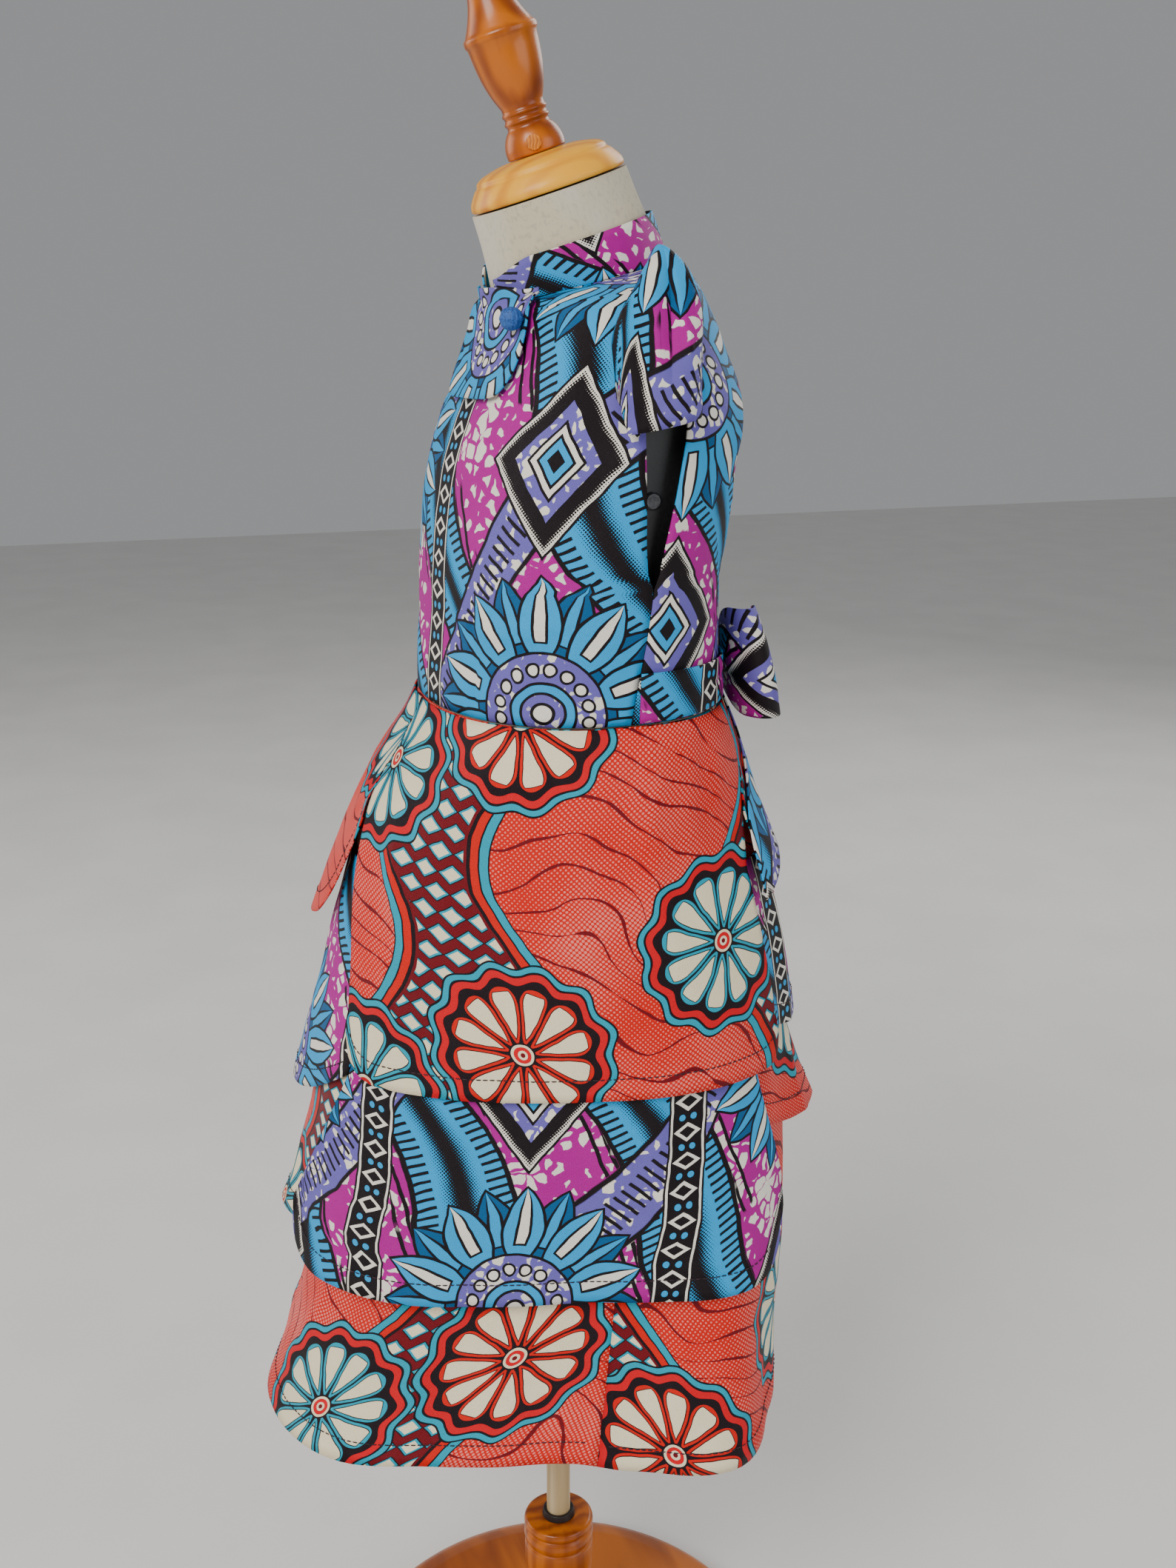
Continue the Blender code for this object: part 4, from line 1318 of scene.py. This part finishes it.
def turnedPiece(name, profile, look, cad=None, steps=96, rounding=0.0006):
    # profile: the outer side from the top down, in mm; its corners are rounded a little
    bm = bmesh.new()
    points = [bm.verts.new((r / 1000, 0, z / 1000)) for r, z in profile]
    if profile[0][0] > 0 and profile[-1][0] > 0:
        points.append(points[0])
    for pair in zip(points, points[1:]):
        bm.edges.new(pair)
    bmesh.ops.spin(bm, geom=bm.verts[:] + bm.edges[:], axis=(0, 0, 1), cent=(0, 0, 0), angle=2 * pi,
                   steps=steps, use_merge=True)
    bmesh.ops.remove_doubles(bm, verts=bm.verts, dist=1e-5)
    bmesh.ops.recalc_face_normals(bm, faces=bm.faces)
    piece = makePiece(name, bm, look, 40, cad)
    if rounding:
        soft = piece.modifiers.new("softCorners", "BEVEL")
        soft.width = rounding
        soft.segments = 2
        soft.limit_method = "ANGLE"
        soft.angle_limit = radians(30)
    return piece


def flowing(*points, per=4):
    # a smooth line through the points, for the swelling parts of a turning
    found = []
    for i in range(len(points) - 1):
        near = (points[max(i - 1, 0)], points[i], points[i + 1], points[min(i + 2, len(points) - 1)])
        for t in (k / per for k in range(per)):
            found.append(tuple(
                b + ((c - a) * t + (2 * a - 5 * b + 4 * c - d) * t**2 + (3 * b - a - 3 * c + d) * t**3) / 2
                for a, b, c, d in zip(*near)))
    return [*found, points[-1]]


neckShapes = {
    # profiles as radius and height in mm
    "cap": [(0, 17), *flowing((15, 17), (21, 16.4), (29, 14.5), (32.5, 12.5)), (33, 10.5),
            *flowing((34.5, 9.5), (38, 4.5), (38.8, 1.2)), (38, 0), (0, 0)],
    "finialTop": [
        (0, 104), *flowing((4.5, 102.7), (8, 98.5), (9.5, 93), (10.8, 87), (13.5, 80), (16.6, 74.2)),
        (18, 72.8), (18, 70.5), (17, 69), *flowing((16.6, 64), (15.4, 55), (13.1, 46.5), (10.4, 40)),
    ],
    "ringHeights": (38.3, 34.5),   # the two small rings over the ball
    "ball": (20, 14.5),            # height and radius
    "foot": [(14.2, 17.3), (0, 17.3)],
    "plug": [(0, 1), (3.6, 0.8), (3.8, 0), (0, 0)],
    "plugFaces": (0.93, -0.36, 0.05),
    "plugSunk": 0.6,
    "gap": 0.8,
}


def turnNeck():
    middle, ball = neckShapes["ball"]
    rings = [(9.8 + 1.3 * sin(pi * k / 8), high - 3.1 * k / 8)
             for high in neckShapes["ringHeights"] for k in range(1, 8)]
    rounded = [(ball * cos(radians(d)), middle + ball * sin(radians(d))) for d in range(46, -10, -6)]
    profile = neckShapes["finialTop"] + rings + rounded + neckShapes["foot"]
    cap = turnedPiece("neckCap", neckShapes["cap"], "pine")
    finial = turnedPiece("neckFinial", profile, "varnishedWood")
    plug = turnedPiece("finialPlug", neckShapes["plug"], "plugWood", ["neck_finial"], steps=32, rounding=0)
    lean = formSizes["neckLean"]
    up = Vector((0, -sin(lean), cos(lean))) / 1000
    for piece in (cap, finial):
        piece.rotation_euler = (lean, 0, 0)
        piece.location = Vector((0, *formSizes["neckTop"])) + up * neckShapes["gap"]
    facing = Vector(neckShapes["plugFaces"]).normalized()
    plug.rotation_euler = facing.to_track_quat("Z", "Y").to_euler()
    plug.location = finial.location + up * middle + facing * (ball - neckShapes["plugSunk"]) / 1000


standSizes = {
    # in mm
    "pole": 7.1,
    "poleTop": 599.7,
    "columnTop": 132,
    "baseHeight": 22,
    "gap": 0.3,
    "beads": ((6.2, 6), (15.8, 8.5)),   # how far under the column's top each ends, and its height
}


def turnStand():
    pole, poleTop, top, high, gap, beads = standSizes.values()
    rounded = [(19.6 + 1.4 * sin(pi * k / 8) ** 0.6, top - low + tall * (1 - k / 8))
               for low, tall in beads for k in range(9)]
    inner, rim, seat = pole + gap, top + 4.3, top + gap
    turnedPiece("standPole", [(0, poleTop), (pole, poleTop), (pole, seat), (0, seat)], "paleWood", steps=48)
    turnedPiece("standFerrule", [(inner, rim), (9.2, rim), (10, seat), (inner, seat)], "ferrule", steps=64,
                rounding=0.0003)
    turnedPiece("standColumn", [
        (0, top), (18.5, top), *rounded,
        *flowing((20.6, top - 17.2), (20.5, top - 30), (18.5, 70), (20, 45), (29, 30), (30, high + gap)),
        (0, high + gap),
    ], "varnishedWood")
    turnedPiece("standBase", [
        (0, high), *flowing((115, high), (130, 17), (135, 11), (135, 3)), (132, 0), (0, 0),
    ], "baseWood", steps=128)


def fixArmPlates():
    y, height = formSizes["armCentre"]
    flat, gap = formSizes["armFlat"], fit["gap"]
    outs = {"armPlate": flat + gap, "armScrew": flat + 2 * gap + formSizes["armPlate"][2]}
    for side, end in ((1, "Left"), (-1, "Right")):
        for name, out in outs.items():
            wide, tall, thick = formSizes[name]
            bm = bmesh.new()
            rings = []
            for rise, inset in ((0.0, 0.0), (thick * 0.6, 0.0), (thick, thick * 0.5)):
                turns = [2 * pi * i / 64 * side for i in range(64)]
                rings.append([bm.verts.new((side * (out + rise), y + (wide - inset) * cos(turn),
                                            height + (tall - inset) * sin(turn))) for turn in turns])
            joinRings(bm, rings)
            makePiece(name + end, bm, name[3:].lower(), 30)


def layFloor():
    bm = bmesh.new()
    bmesh.ops.create_grid(bm, x_segments=1, y_segments=1, size=6)
    mesh = bpy.data.meshes.new("paleFloor")
    bm.to_mesh(mesh)
    bm.free()
    mesh.materials.append(looks["floor"])
    addToScene("paleFloor", mesh)


layFloor()
coverTorso()
turnNeck()
turnStand()
fixArmPlates()
print("scene: form and stand")
sewBodice()
sewCollar()
sewFlap()
tieBall("ballButton", "button", (64, 40), (button["radius"],) * 3,
        movedOut(torso, *button["at"], button["out"]), buttonStrands)
sewMirrored("sleeve", sleeveSurface, sleeve["spacing"], sleeve["cuts"], creases=sleeve["creases"],
            hem=True, stitch=False, grain="hem")
print("scene: bodice")
sewMirrored("sash", sashSurface, sash["spacing"], sash["bandCuts"], creases=sash["bandCreases"],
            held="stretched", calm=0.6)
tieBall("bowKnot", "printA", (56, 36), sash["knotSize"], (0, sash["knotY"], sash["knotHeight"]), knotPleats)
sewMirrored("bowLoop", loopSurface, sash["loopSpacing"], sash["loopCuts"], creases=sash["loopCreases"],
            held="gathered")
sewPair(sewTail, "bowTail", sash["tailCuts"])
print("scene: sash and bow")
seam = skirtBase["seam"]
sewSkirtBase("skirtBaseFront", -180 - seam, seam, skirtBase["frontCut"])
sewSkirtBase("skirtBaseBack", seam, 180 - seam, skirtBase["backCut"])
for tier, facts in sidePetals.items():
    sewPair(sewSidePetal, tier, facts[-2:])
for petal in middlePetals:
    sewMiddlePetal(petal)
print("scene: skirt")
